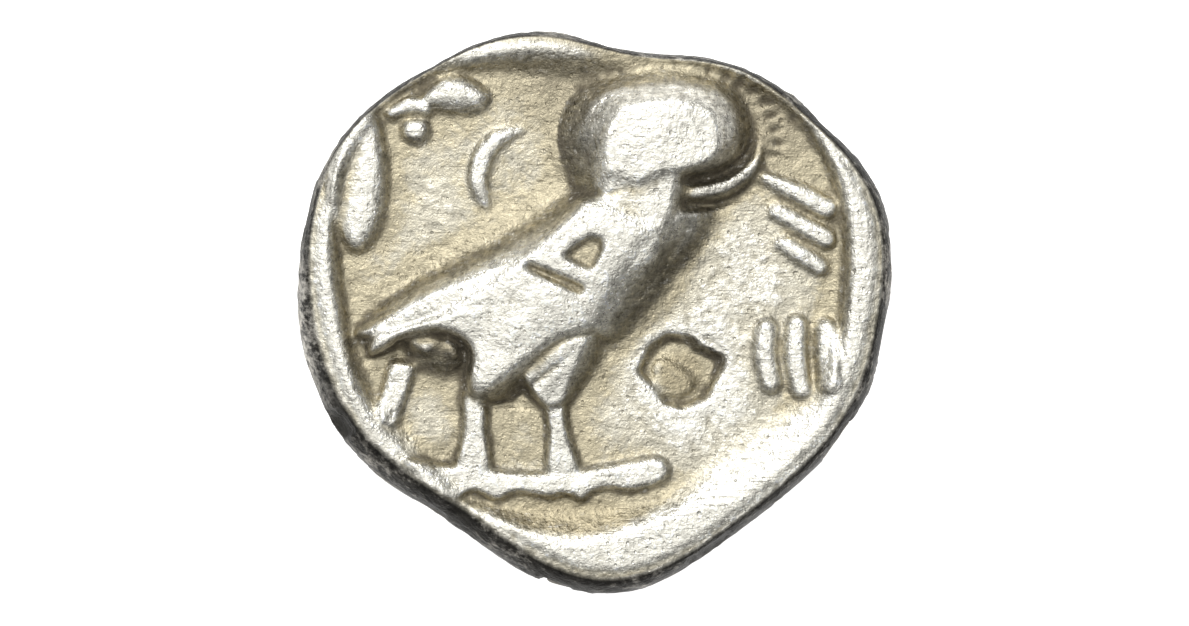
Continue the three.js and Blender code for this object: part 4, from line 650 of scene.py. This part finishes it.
owl_z, owl_relief = owl_grid()
owl_z = finish_grid(owl_z, 0.085, 11, 1)
head_z, head_relief = head_grid()
head_z = np.maximum(0, finish_grid(head_z, 0.085, 31, -1))


def tone_of(z, sign, field):
    """Hollowness at two sizes, steepness and height over the field of a face, each about 0 to 1."""
    near = sign * (blur(z, 0.16) - z) / 0.06
    wide = sign * (blur(z, 0.8) - z) / 0.30
    gy, gx = np.gradient(blur(z, 0.06), CELL)
    lift = sign * (z - field) / 1.6
    return np.clip(near, -1, 1), np.clip(wide, -1, 1), np.hypot(gx, gy), np.clip(lift, 0, 1)


owl_tone = tone_of(owl_z, 1, OWL_FIELD)
head_tone = tone_of(head_z, -1, HEAD_FIELD)


def sample(grid, x, y):
    u = np.clip((x + HALF) / CELL, 0, len(AXIS) - 1.001)
    v = np.clip((y + HALF) / CELL, 0, len(AXIS) - 1.001)
    i, j = u.astype(int), v.astype(int)
    fu, fv = u - i, v - j
    return ((grid[j, i] * (1 - fu) + grid[j, i + 1] * fu) * (1 - fv)
            + (grid[j + 1, i] * (1 - fu) + grid[j + 1, i + 1] * fu) * fv)


# ------------------------------------------------------------------ one closed mesh of the flan
def disc_net(n):
    """A square net bent into a disc: share of the radius and direction of each point."""
    a, b = np.meshgrid(2 * np.arange(n + 1) / n - 1, 2 * np.arange(n + 1) / n - 1)
    wide = np.abs(a) > np.abs(b)
    with np.errstate(divide="ignore", invalid="ignore"):
        t1 = np.where(wide, (math.pi / 4) * b / np.where(a == 0, 1, a), 0) + np.where(a < 0, math.pi, 0)
        t2 = math.pi / 2 - (math.pi / 4) * a / np.where(b == 0, 1, b) + np.where(b < 0, math.pi, 0)
    return np.where(wide, np.abs(a), np.abs(b)), np.where(wide, t1, t2)


share, turn = disc_net(NET)
W = NET + 1
verts, tones, faces, uvs = [], [], [], []
count = 0


def put(x, y, z, near, wide, steep, edge, side, lift=0.4):
    """Adds points with the measures that their toning reads; returns their numbers."""
    global count
    x, y, z = (np.asarray(v, float).ravel() for v in (x, y, z))
    verts.append(np.stack([x, y, z], 1))
    cols = [np.broadcast_to(np.asarray(v, float), (len(x),)) if np.ndim(v) == 0 else np.ravel(v)
            for v in (near, wide, steep, edge, side, lift)]
    tones.append(np.stack(cols, 1))
    count += len(x)
    return np.arange(count - len(x), count)


def disc(shoulder, z, tone, side):
    r = share * (outline(turn) - shoulder(turn))
    x, y = r * np.cos(turn), r * np.sin(turn)
    near, wide, steep, lift = (sample(t, x, y) for t in tone)
    return put(x, y, sample(z, x, y), near, wide, steep, 0.0, side, lift).reshape(W, W)


owl_ids = disc(owl_shoulder, owl_z, owl_tone, 0.0)
head_ids = disc(head_shoulder, head_z, head_tone, 1.0)
k = np.arange(NET)
quads = np.stack([owl_ids[:-1, :-1], owl_ids[:-1, 1:], owl_ids[1:, 1:], owl_ids[1:, :-1]], -1).reshape(-1, 4)
quads_h = np.stack([head_ids[:-1, :-1], head_ids[:-1, 1:], head_ids[1:, 1:], head_ids[1:, :-1]], -1).reshape(-1, 4)
jj, ii = np.meshgrid(np.arange(NET), np.arange(NET), indexing="ij")
turned = ((ii < NET / 2) == (jj < NET / 2)).ravel()


def split(q, turned, flip):
    one = np.where(turned[:, None], q[:, [0, 1, 2]], q[:, [0, 1, 3]])
    two = np.where(turned[:, None], q[:, [0, 2, 3]], q[:, [1, 2, 3]])
    t = np.concatenate([one, two])
    return t[:, ::-1] if flip else t


top_faces = split(quads, turned, False)
low_faces = split(quads_h, turned, True)

border = ([(0, i) for i in range(NET)] + [(j, NET) for j in range(NET)]
          + [(NET, i) for i in range(NET, 0, -1)] + [(j, 0) for j in range(NET, 0, -1)])
bj, bi = np.array(border).T
ba = turn[bj, bi]
M = len(border)
all_z = np.concatenate(verts)[:, 2]
rings = [owl_ids[bj, bi]]
SHOULDER_STEPS = 12
# chips and flakes along the edge: direction in degrees, height, half width and depth in mm
CHIPS = [
    (-157, 3.9, 0.7, 0.32), (-160, 2.2, 0.9, 0.25), (-99, 3.0, 0.8, 0.2), (-104, 1.6, 1.0, 0.22),
    (-63, 3.6, 1.1, 0.18), (-28, 3.2, 1.4, 0.16), (-20, 2.4, 0.6, 0.14), (172, 2.6, 0.8, 0.16),
    (150, 3.4, 0.7, 0.12), (118, 2.2, 0.9, 0.14), (40, 2.6, 1.2, 0.12), (-130, 3.2, 0.9, 0.16),
    (-82, 2.4, 0.5, 0.15), (12, 3.0, 0.8, 0.1), (70, 2.0, 0.9, 0.12),
]


def edge_push(a, level):
    """How far the edge stands in or out: hammered facets, sheared layers, flakes."""
    c, s = 11.8 * np.cos(a), 11.8 * np.sin(a)
    lump = 0.045 * speckle(c + 0.3 * level, s - 0.3 * level, 1.7, 51)
    fine = 0.014 * speckle(c + level * 1.7, s + level * 1.3, 0.34, 52)
    along = 11.8 * a
    # thin layers that run along the edge, opened a little here and there
    drift = 0.25 * speckle(c, s, 2.6, 55) + 0.12 * speckle(c, s, 0.9, 57)
    layer = np.sin((level + drift) * 2 * math.pi / 0.42) + 0.6 * np.sin((level - drift * 1.4) * 2 * math.pi / 0.23)
    open_here = np.clip(0.5 + 0.8 * speckle(c * 0.9 + level * 0.4, s * 0.9, 0.9, 54), 0, 1.4)
    push = lump + fine - 0.032 * np.clip(layer, -0.4, 1.6) * open_here
    for turn_, at, half, depth in CHIPS:
        off = np.arctan2(np.sin(a - math.radians(turn_)), np.cos(a - math.radians(turn_))) * 11.8 / half
        off = off + 0.25 * speckle(c, s, 0.4, 56)
        bite = step(1.0, 0.55, np.abs(off)) * step(1.0, 0.4, abs(level - at) / (0.45 + 0.4 * half))
        push = push - depth * bite
    return push


def shoulder_rings(shoulder, ids, level, side):
    out = []
    land = all_z[ids[bj, bi]]
    for s in range(1, SHOULDER_STEPS + 1):
        phi = (math.pi / 2) * s / SHOULDER_STEPS
        w = shoulder(ba)
        z = level + (land - level) * math.cos(phi)
        r = outline(ba) - w + w * math.sin(phi)
        push = edge_push(ba, level + (4.5 - level if level > 2.5 else 1.3 - level) * math.cos(phi))
        r = r + push * float(step(0.0, 0.8, math.sin(phi)))
        e = step(0.0, 0.26, math.sin(phi))
        out.append(put(r * np.cos(ba), r * np.sin(ba), z, np.clip(-push / 0.12, -1, 1), 0.0, 1.0, float(e), side))
    return out


rings += shoulder_rings(owl_shoulder, owl_ids, GIRTH_TOP, 0.0)
mid = 0.5 * (GIRTH_TOP + GIRTH_BOTTOM)
push = edge_push(ba, mid)
rm = outline(ba) + push
rings.append(put(rm * np.cos(ba), rm * np.sin(ba), np.full(M, mid), np.clip(-push / 0.12, -1, 1), 0.0, 1.0, 1.0, 0.5))
rings += shoulder_rings(head_shoulder, head_ids, GIRTH_BOTTOM, 1.0)[::-1]
rings.append(head_ids[bj, bi])
wall = []
for a, b in zip(rings[:-1], rings[1:]):
    a1, b1 = np.roll(a, -1), np.roll(b, -1)
    wall.append(np.stack([a, b, a1], 1))
    wall.append(np.stack([a1, b, b1], 1))
wall = np.concatenate(wall)

P = np.concatenate(verts)
T = np.concatenate(tones)
# the same shift as the solid's: the origin lies under the middle of the outline
mid_xy = (P[:, :2].max(0) + P[:, :2].min(0)) / 2
low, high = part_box("coin")
P[:, :2] += np.array([(low.x + high.x) / 2, (low.y + high.y) / 2]) * 1000 - mid_xy
tris = np.concatenate([top_faces, low_faces, wall])

mesh = bpy.data.meshes.new("coin_surface")
mesh.vertices.add(len(P))
mesh.vertices.foreach_set("co", (P / 1000).astype(np.float32).ravel())
mesh.loops.add(len(tris) * 3)
mesh.loops.foreach_set("vertex_index", tris.astype(np.int32).ravel())
mesh.polygons.add(len(tris))
mesh.polygons.foreach_set("loop_start", np.arange(0, len(tris) * 3, 3, dtype=np.int32))
mesh.polygons.foreach_set("use_smooth", np.ones(len(tris), bool))
mesh.update(calc_edges=True)
mesh.validate()

for name, cols in (("relief", T[:, [0, 1, 2]]), ("place", T[:, [3, 4, 5]])):
    layer = mesh.attributes.new(name, "FLOAT_COLOR", "POINT")
    rgba = np.ones((len(P), 4), np.float32)
    rgba[:, :3] = cols
    layer.data.foreach_set("color", rgba.ravel())

# ------------------------------------------------------------------ a flat layout for the bake
uv = np.zeros((len(tris), 3, 2))
nt, nl = len(top_faces), len(low_faces)
span = 0.575 / 25.0
uv[:nt] = P[top_faces][:, :, :2] * span + np.array([0.292, 0.708])
flipped = P[low_faces][:, :, :2] * np.array([-1, 1])
uv[nt : nt + nl] = flipped * span + np.array([0.708, 0.292])
ring_of = np.full(len(P), -1)
col_of = np.full(len(P), -1)
for r_i, ids in enumerate(rings):
    ring_of[ids] = r_i
    col_of[ids] = np.arange(M)
n_wall = len(wall)
base_col = np.tile(np.tile(np.arange(M), 2), len(rings) - 1)
base_ring = np.repeat(np.arange(len(rings) - 1), 2 * M)
arc = np.zeros(len(rings))
for r_i in range(1, len(rings)):
    arc[r_i] = arc[r_i - 1] + np.linalg.norm(P[rings[r_i]] - P[rings[r_i - 1]], axis=1).mean()
STRIPS = 4
strip = base_col // (M // STRIPS)
for c in range(3):
    v = wall[:, c]
    is_next = (col_of[v] != base_col)
    along = (base_col + is_next) - strip * (M // STRIPS)
    ring_idx = ring_of[v]
    x = 0.012 + along / (M // STRIPS) * 0.385
    y = arc[ring_idx] / 1000 * 20.5 / 1.0
    corner = strip // 2
    row = strip % 2
    yy = 0.012 + row * 0.2 + arc[ring_idx] * 0.0208
    uv[nt + nl :, c, 0] = np.where(corner == 0, x, 1 - x)
    uv[nt + nl :, c, 1] = np.where(corner == 0, yy, 1 - yy)
layer = mesh.uv_layers.new(name="OFBake")
layer.data.foreach_set("uv", uv.astype(np.float32).ravel())

# ------------------------------------------------------------------ the silver
piece = bpy.data.objects.new("coin_surface", mesh)
bpy.context.collection.objects.link(piece)

silver = bpy.data.materials.new("worn_silver")
silver.use_nodes = True
tree = silver.node_tree
tree.nodes.clear()
links = tree.links


def node(kind, **values):
    n = tree.nodes.new(kind)
    for key, value in values.items():
        setattr(n, key, value)
    return n


def feed(socket, value):
    if isinstance(value, bpy.types.NodeSocket):
        links.new(value, socket)
    else:
        socket.default_value = value


def calc(op, a, b=0.0, clamp=False):
    n = node("ShaderNodeMath", operation=op, use_clamp=clamp)
    feed(n.inputs[0], a)
    feed(n.inputs[1], b)
    return n.outputs[0]


def ramp(value, low, high, to_low=0.0, to_high=1.0):
    n = node("ShaderNodeMapRange", interpolation_type="SMOOTHSTEP")
    for i, v in enumerate((value, low, high, to_low, to_high)):
        feed(n.inputs[i], v)
    return n.outputs[0]


def blend(a, b, share):
    n = node("ShaderNodeMix", data_type="RGBA")
    feed(n.inputs[0], share)
    feed(n.inputs[6], a if isinstance(a, bpy.types.NodeSocket) else (*a, 1))
    feed(n.inputs[7], b if isinstance(b, bpy.types.NodeSocket) else (*b, 1))
    return n.outputs[2]


place_at = node("ShaderNodeTexCoord").outputs["Object"]


def noise(scale, detail=2.0, rough=0.5, stretch=None, turn=0.0, offset=0.0):
    """Noise whose lumps are 1/scale mm across."""
    m = node("ShaderNodeMapping", vector_type="POINT")
    feed(m.inputs[0], place_at)
    m.inputs["Location"].default_value = (offset, offset * 0.7, -offset)
    m.inputs["Rotation"].default_value = (0, 0, turn)
    m.inputs["Scale"].default_value = tuple(1000 * scale * s for s in (stretch or (1, 1, 1)))
    n = node("ShaderNodeTexNoise")
    feed(n.inputs["Vector"], m.outputs[0])
    n.inputs["Scale"].default_value = 1.0
    n.inputs["Detail"].default_value = detail
    n.inputs["Roughness"].default_value = rough
    return n.outputs[0]


def pits(scale, size, offset=0.0):
    """1 in small round pits, 0 elsewhere."""
    m = node("ShaderNodeMapping", vector_type="POINT")
    feed(m.inputs[0], place_at)
    m.inputs["Location"].default_value = (offset, -offset, offset * 0.3)
    m.inputs["Scale"].default_value = (1000 * scale,) * 3
    v = node("ShaderNodeTexVoronoi", feature="F1")
    feed(v.inputs["Vector"], m.outputs[0])
    v.inputs["Scale"].default_value = 1.0
    return ramp(v.outputs["Distance"], size, size * 0.35)


relief_at = node("ShaderNodeAttribute", attribute_name="relief")
parts = node("ShaderNodeSeparateColor")
links.new(relief_at.outputs["Color"], parts.inputs[0])
near, wide, steep = parts.outputs
place_attr = node("ShaderNodeAttribute", attribute_name="place")
parts = node("ShaderNodeSeparateColor")
links.new(place_attr.outputs["Color"], parts.inputs[0])
edge, side, lift = parts.outputs


def centred(value):
    return calc("SUBTRACT", value, 0.5)


def total(*terms):
    """Sum of (value, weight) pairs."""
    out = None
    for value, weight in terms:
        part = calc("MULTIPLY", value, weight)
        out = part if out is None else calc("ADD", out, part)
    return out


cloud = centred(noise(0.30, 3, 0.55))
mottle = centred(noise(1.2, 4, 0.62, offset=7))
blotch = centred(noise(2.6, 3, 0.6, offset=21))
grain = centred(noise(4.5, 3, 0.65, offset=3))
dust = centred(noise(11, 2, 0.6, offset=11))
pit_small = pits(3.4, 0.26, 5)
pit_big = pits(0.8, 0.12, 2)
scratch = ramp(noise(1.0, 2, 0.7, (0.4, 7, 1), 0.75, 4), 0.66, 0.74)
scratch_two = ramp(noise(1.0, 2, 0.7, (0.5, 9, 1), -0.5, 9), 0.66, 0.74)
streak = centred(noise(1.0, 3, 0.7, (0.8, 5, 3), -0.45, 14))
streak_two = centred(noise(1.0, 3, 0.7, (4.5, 0.9, 3), -0.5, 17))


def around(x, y, far, close, squeeze=(1, 1), turn=0.0, level=4):
    """1 close to a point of the owl side, 0 far from it; all in mm. squeeze shortens the measure."""
    m = node("ShaderNodeMapping", vector_type="TEXTURE")
    links.new(place_at, m.inputs[0])
    m.inputs["Location"].default_value = (x / 1000, y / 1000, level / 1000)
    m.inputs["Rotation"].default_value = (0, 0, turn)
    m.inputs["Scale"].default_value = (squeeze[0], squeeze[1], 1)
    spread = node("ShaderNodeVectorMath", operation="LENGTH")
    links.new(m.outputs[0], spread.inputs[0])
    return ramp(spread.outputs["Value"], far / 1000, close / 1000)


def beneath(right, up, far, close, squeeze=(1, 1), tilt=0.0):
    """The same for a point of the head side, in that side's own axes."""
    a = math.radians(HEAD_AXIS)
    x = math.cos(a) * right + math.sin(a) * up + HEAD_SHIFT[0]
    y = math.sin(a) * right - math.cos(a) * up + HEAD_SHIFT[1]
    return calc("MULTIPLY", around(x, y, far, close, squeeze, a - math.radians(tilt), 0.6), side)


# the lower right of the owl side is rubbed brightest; the top, round the head, keeps a brown stain, and the rump
# under the wing gets painted shade
rubbed = calc("MAXIMUM", around(7.5, -7.5, 8.5, 2.0), calc("MULTIPLY", around(7.6, -2.6, 4.5, 1.5), 0.75))
rubbed = calc("MAXIMUM", rubbed, calc("MULTIPLY", around(-7.2, -4.6, 2.4, 0.8, (1.2, 1)), 0.6))
rubbed = calc("MAXIMUM", rubbed, calc("MULTIPLY", around(6.3, 1.0, 3.2, 1.2, (1, 1.5)), 0.75))
rubbed = calc("MAXIMUM", rubbed, around(-2.4, -6.9, 1.0, 0.55, (5.5, 1)))
stain_and_rump_shade = calc("MAXIMUM", around(7.2, 8.0, 3.2, 1.0), around(-1.2, 10.2, 4.0, 0.8))
# painted shade on the rump under the wing
stain_and_rump_shade = calc("MAXIMUM", stain_and_rump_shade, around(-6.3, -1.6, 1.9, 0.5))
# sheltered hollows that stay warm: the strip under the ground line and the punch
shelter = calc("MAXIMUM", around(-1.2, -8.5, 1.25, 0.5, (3.4, 1)), around(3.7, -2.5, 1.3, 0.7))
# dark grime and painted shade on three steep flanks: behind the owl's head, under its belly and down its breast
grime_and_flank_shade = calc("MAXIMUM", around(-0.75, 7.4, 2.7, 1.0, (0.62, 1)), around(-2.8, -2.85, 1.0, 0.45, (2.5, 1), 0.38))
grime_and_flank_shade = calc("MAXIMUM", grime_and_flank_shade, around(3.0, 1.2, 2.6, 1.0, (0.6, 1.5), -0.75))
grime_and_flank_shade = calc("MAXIMUM", grime_and_flank_shade, calc("MULTIPLY", around(4.5, -1.8, 1.3, 0.6), 1.3))
grime_and_flank_shade = calc("MULTIPLY", grime_and_flank_shade, ramp(steep, 0.12, 0.55))
# painted shade: a dull collar under the owl's cheek, a band under its belly and the rump under the wing
grime_and_flank_shade = calc("MAXIMUM", grime_and_flank_shade, calc("MULTIPLY", around(5.3, 5.2, 1.7, 0.5, (1.5, 0.75), 0.3), 0.75))
grime_and_flank_shade = calc("MAXIMUM", grime_and_flank_shade, calc("MULTIPLY", around(-2.1, -2.3, 0.85, 0.35, (2.7, 0.8), 0.45), 0.85))
grime_and_flank_shade = calc("MAXIMUM", grime_and_flank_shade, around(-6.5, -1.8, 1.25, 0.55, (1.35, 0.8), -0.15))
# the head side is dark round the back of the helmet and on the neck, and has painted shade behind the neck lock,
# under its own jaw and under the visor
head_dark_and_shade = calc("MAXIMUM", beneath(-8.8, -0.6, 3.2, 1.7, (1, 1.9), 12), beneath(-6.6, -3.6, 3.0, 1.8))
head_dark_and_shade = calc("MAXIMUM", head_dark_and_shade, calc("MULTIPLY", beneath(-1.5, -9.6, 3.8, 2.0, (1.6, 0.8)), 0.85))
jaw = HAIRLINE - 1.5 * (HAIRLINE - EAR_LEVEL)
# painted shade under the face's own jaw
head_dark_and_shade = calc("MAXIMUM", head_dark_and_shade, beneath(VISOR_END - 4.6, jaw + 0.2, 2.4, 1.2, (1.3, 0.7), -20))
# painted shade under the visor
head_dark_and_shade = calc("MAXIMUM", head_dark_and_shade, calc("MULTIPLY", beneath(1.8, 5.6, 2.6, 0.8, (2.0, 0.55), 32), 0.85))
head_dark_and_shade = calc("MAXIMUM", head_dark_and_shade, calc("MULTIPLY", beneath(-3.0, 0.0, 1.9, 1.0), 0.9))
# worn bright: high places, rims and open field
bright = ramp(total((wide, -1.0), (near, -0.35), (lift, 0.35), (head_dark_and_shade, -0.22), (rubbed, 0.34), (shelter, -0.8), (stain_and_rump_shade, -0.35), (mottle, 0.8), (blotch, 0.6), (cloud, 0.3), (grain, 0.3)), -0.04, 0.45)
# warm tone in the sheltered field round the relief
warm = ramp(total((wide, 1.3), (rubbed, -0.42), (shelter, 0.8), (stain_and_rump_shade, 0.5), (mottle, 0.6), (blotch, 0.6), (cloud, 0.6), (grain, 0.4)), 0.02, 0.52)
# grey on the steeper flanks of the relief, in streaks: partly toning, partly painted shade of the slopes
slope_tone_and_shade = ramp(total((steep, 0.62), (grime_and_flank_shade, 0.30), (mottle, 1.0), (streak, 1.3), (streak_two, 1.0), (cloud, 0.4), (grain, 0.6)), 0.30, 1.0)
# dark dirt in the sharp corners, broken here and there
dirt = ramp(total((near, 0.64), (wide, 0.22), (steep, 0.15), (stain_and_rump_shade, 0.22), (grime_and_flank_shade, 0.30), (head_dark_and_shade, 0.22), (mottle, 1.9), (cloud, 1.3), (grain, 0.9)), 0.50, 1.25)
# light scuffs across the flanks
scuff = calc("MULTIPLY", ramp(total((streak, 1.0), (streak_two, 0.8), (grain, 0.5)), 0.10, 0.34), ramp(steep, 0.2, 0.7, 0, 0.62))

tone = blend((0.700, 0.658, 0.540), (0.925, 0.900, 0.815), bright)
tone = blend(tone, (0.545, 0.482, 0.335), calc("MULTIPLY", warm, 0.85))
tone = blend(tone, (0.430, 0.370, 0.245), calc("MULTIPLY", shelter, 0.65))
# brown stain round the head, and painted shade on the rump
tone = blend(tone, (0.300, 0.265, 0.195), calc("MULTIPLY", stain_and_rump_shade, ramp(total((mottle, 1.0), (blotch, 0.8), (wide, 0.3)), -0.1, 0.35, 0.25, 0.75)))
# painted shade and grey toning on the steep flanks
tone = blend(tone, (0.300, 0.280, 0.235), calc("MULTIPLY", slope_tone_and_shade, 0.70))
tone = blend(tone, (0.100, 0.082, 0.052), calc("MULTIPLY", dirt, 0.78))
# painted shade and grime on the owl's flanks, under its cheek and belly and on the rump
tone = blend(tone, (0.135, 0.120, 0.092), calc("MULTIPLY", grime_and_flank_shade, ramp(total((mottle, 1.0), (streak, 0.8), (blotch, 0.6)), -0.12, 0.30, 0.25, 0.80)))
# dark head side, with painted shade under the jaw, under the visor and behind the neck lock
tone = blend(tone, (0.085, 0.072, 0.052), calc("MULTIPLY", head_dark_and_shade, ramp(total((mottle, 1.0), (streak, 0.6), (blotch, 0.6), (lift, -0.25)), -0.45, 0.05, 0.50, 1.0)))
tone = blend(tone, (0.80, 0.78, 0.72), scuff)
tone = blend(tone, (0.26, 0.225, 0.155), calc("MULTIPLY", pit_small, ramp(mottle, 0.0, 0.16, 0, 0.55)))
tone = blend(tone, (0.16, 0.135, 0.09), calc("MULTIPLY", pit_big, ramp(cloud, 0.02, 0.12, 0, 0.6)))
flake = centred(noise(1.5, 3, 0.7, (1, 1, 3.4), 0, 31))
wall = blend((0.030, 0.028, 0.024), (0.27, 0.255, 0.225), ramp(total((near, -0.5), (flake, 1.8), (streak, 0.5), (grain, 0.8), (mottle, 0.4)), 0.0, 0.60))
# the left of the edge is rubbed lighter
wall = blend(wall, (0.42, 0.40, 0.36), calc("MULTIPLY", around(-12.2, -0.5, 5.0, 1.5, (0.7, 1), 0.0, 2.6), ramp(total((streak, 1.0), (mottle, 1.0), (grain, 0.7)), -0.25, 0.25)))
tone = blend(tone, wall, edge)
tone = blend(tone, (0.33, 0.295, 0.225), calc("MULTIPLY", side, 0.30))
# fine speckle over everything
speck = node("ShaderNodeMix", data_type="RGBA", blend_type="MULTIPLY")
speck.inputs[0].default_value = 1.0
links.new(tone, speck.inputs[6])
even = node("ShaderNodeCombineColor")
level = calc("ADD", 0.99, calc("MULTIPLY", total((blotch, 0.95), (grain, 0.9), (dust, 0.45), (mottle, 0.5)), ramp(steep, 0.0, 0.8, 0.85, 1.7)))
for i in range(3):
    links.new(level, even.inputs[i])
links.new(even.outputs[0], speck.inputs[7])
tone = speck.outputs[2]

roughness = calc("ADD", 0.42, total((bright, -0.13), (head_dark_and_shade, 0.10), (dirt, 0.25), (slope_tone_and_shade, 0.02), (edge, 0.12), (grain, 0.25)), clamp=True)

height = total((calc("MULTIPLY", flake, edge), 1.8), (grain, 0.85), (dust, 0.36), (blotch, 0.9), (mottle, 1.0), (pit_small, -0.3), (pit_big, -0.5), (scratch, -0.3), (scratch_two, -0.3), (streak, 0.25), (streak_two, 0.25))
bump = node("ShaderNodeBump")
bump.inputs["Strength"].default_value = 1.0
bump.inputs["Distance"].default_value = 0.000055
links.new(height, bump.inputs["Height"])

shader = node("ShaderNodeBsdfPrincipled")
links.new(tone, shader.inputs["Base Color"])
links.new(roughness, shader.inputs["Roughness"])
links.new(calc("ADD", 1.0, total((dirt, -0.5), (head_dark_and_shade, -0.25), (edge, -0.15)), clamp=True), shader.inputs["Metallic"])
links.new(bump.outputs[0], shader.inputs["Normal"])
out = node("ShaderNodeOutputMaterial")
links.new(shader.outputs[0], out.inputs[0])
mesh.materials.append(silver)

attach(piece, "root")
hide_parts("coin")

# ------------------------------------------------------------------ floor, light and camera
fm = bpy.data.meshes.new("floor")
s = 1.5
fm.from_pydata([(-s, -s, 0), (s, -s, 0), (s, s, 0), (-s, s, 0)], [], [(0, 1, 2, 3)])
floor = bpy.data.objects.new("floor", fm)
bpy.context.collection.objects.link(floor)
fmat = bpy.data.materials.new("pale_paper")
fmat.use_nodes = True
fb = fmat.node_tree.nodes["Principled BSDF"]
fb.inputs["Base Color"].default_value = (0.93, 0.93, 0.93, 1)
fb.inputs["Roughness"].default_value = 0.9
fb.inputs["Specular IOR Level"].default_value = 0.1
fb.inputs["Emission Color"].default_value = (1, 1, 1, 1)
fb.inputs["Emission Strength"].default_value = 0.85
fm.materials.append(fmat)

scene = bpy.context.scene
scene.view_settings.view_transform = "Standard"
scene.view_settings.look = "None"
scene.view_settings.exposure = 0.0
world = bpy.data.worlds.new("studio")
scene.world = world
world.use_nodes = True
wt = world.node_tree
wt.nodes.clear()
toward = wt.nodes.new("ShaderNodeTexCoord")
aim = wt.nodes.new("ShaderNodeVectorMath")
aim.operation = "DOT_PRODUCT"
lamp = np.array([-0.14, 0.26, 0.955])
aim.inputs[1].default_value = tuple(lamp / np.linalg.norm(lamp))
wt.links.new(toward.outputs["Generated"], aim.inputs[0])
curve = wt.nodes.new("ShaderNodeValToRGB")
wt.links.new(aim.outputs["Value"], curve.inputs[0])
stops = [(0.0, 0.085), (0.22, 0.155), (0.48, 0.31), (0.70, 0.60), (0.85, 1.0), (0.95, 1.22), (1.0, 1.28)]
ramp_bits = curve.color_ramp
while len(ramp_bits.elements) < len(stops):
    ramp_bits.elements.new(0.5)
for element, (at, level_) in zip(ramp_bits.elements, stops):
    element.position = at
    element.color = (level_, level_, level_ * 0.985, 1)
back = wt.nodes.new("ShaderNodeBackground")
wt.links.new(curve.outputs[0], back.inputs[0])
back.inputs[1].default_value = 1.0
wo = wt.nodes.new("ShaderNodeOutputWorld")
wt.links.new(back.outputs[0], wo.inputs[0])


def softbox(name, at, size, power, colour=(1, 1, 1)):
    data = bpy.data.lights.new(name, "AREA")
    data.shape = "RECTANGLE"
    data.size, data.size_y = size
    data.energy = power
    data.color = colour
    lamp_ob = bpy.data.objects.new(name, data)
    bpy.context.collection.objects.link(lamp_ob)
    lamp_ob.location = at
    from mathutils import Vector
    lamp_ob.rotation_euler = (Vector((0, 0, 0)) - Vector(at)).to_track_quat("-Z", "Y").to_euler()
    return lamp_ob


softbox("key", (-0.08, 0.24, 0.30), (0.30, 0.12), 0.45)

cam = bpy.data.cameras.new("camera")
cam.lens = 100
cam.sensor_width = 36
cam.clip_start = 0.005
cam.clip_end = 20
camera = bpy.data.objects.new("camera", cam)
bpy.context.collection.objects.link(camera)
# 24 pixels to the millimetre at the height of the owl's field
frame_width = 1189 / 24 / 1000
camera.location = (0, 0, OWL_FIELD / 1000 + frame_width * cam.lens / cam.sensor_width)
camera.rotation_euler = (0, 0, 0)
scene.camera = camera
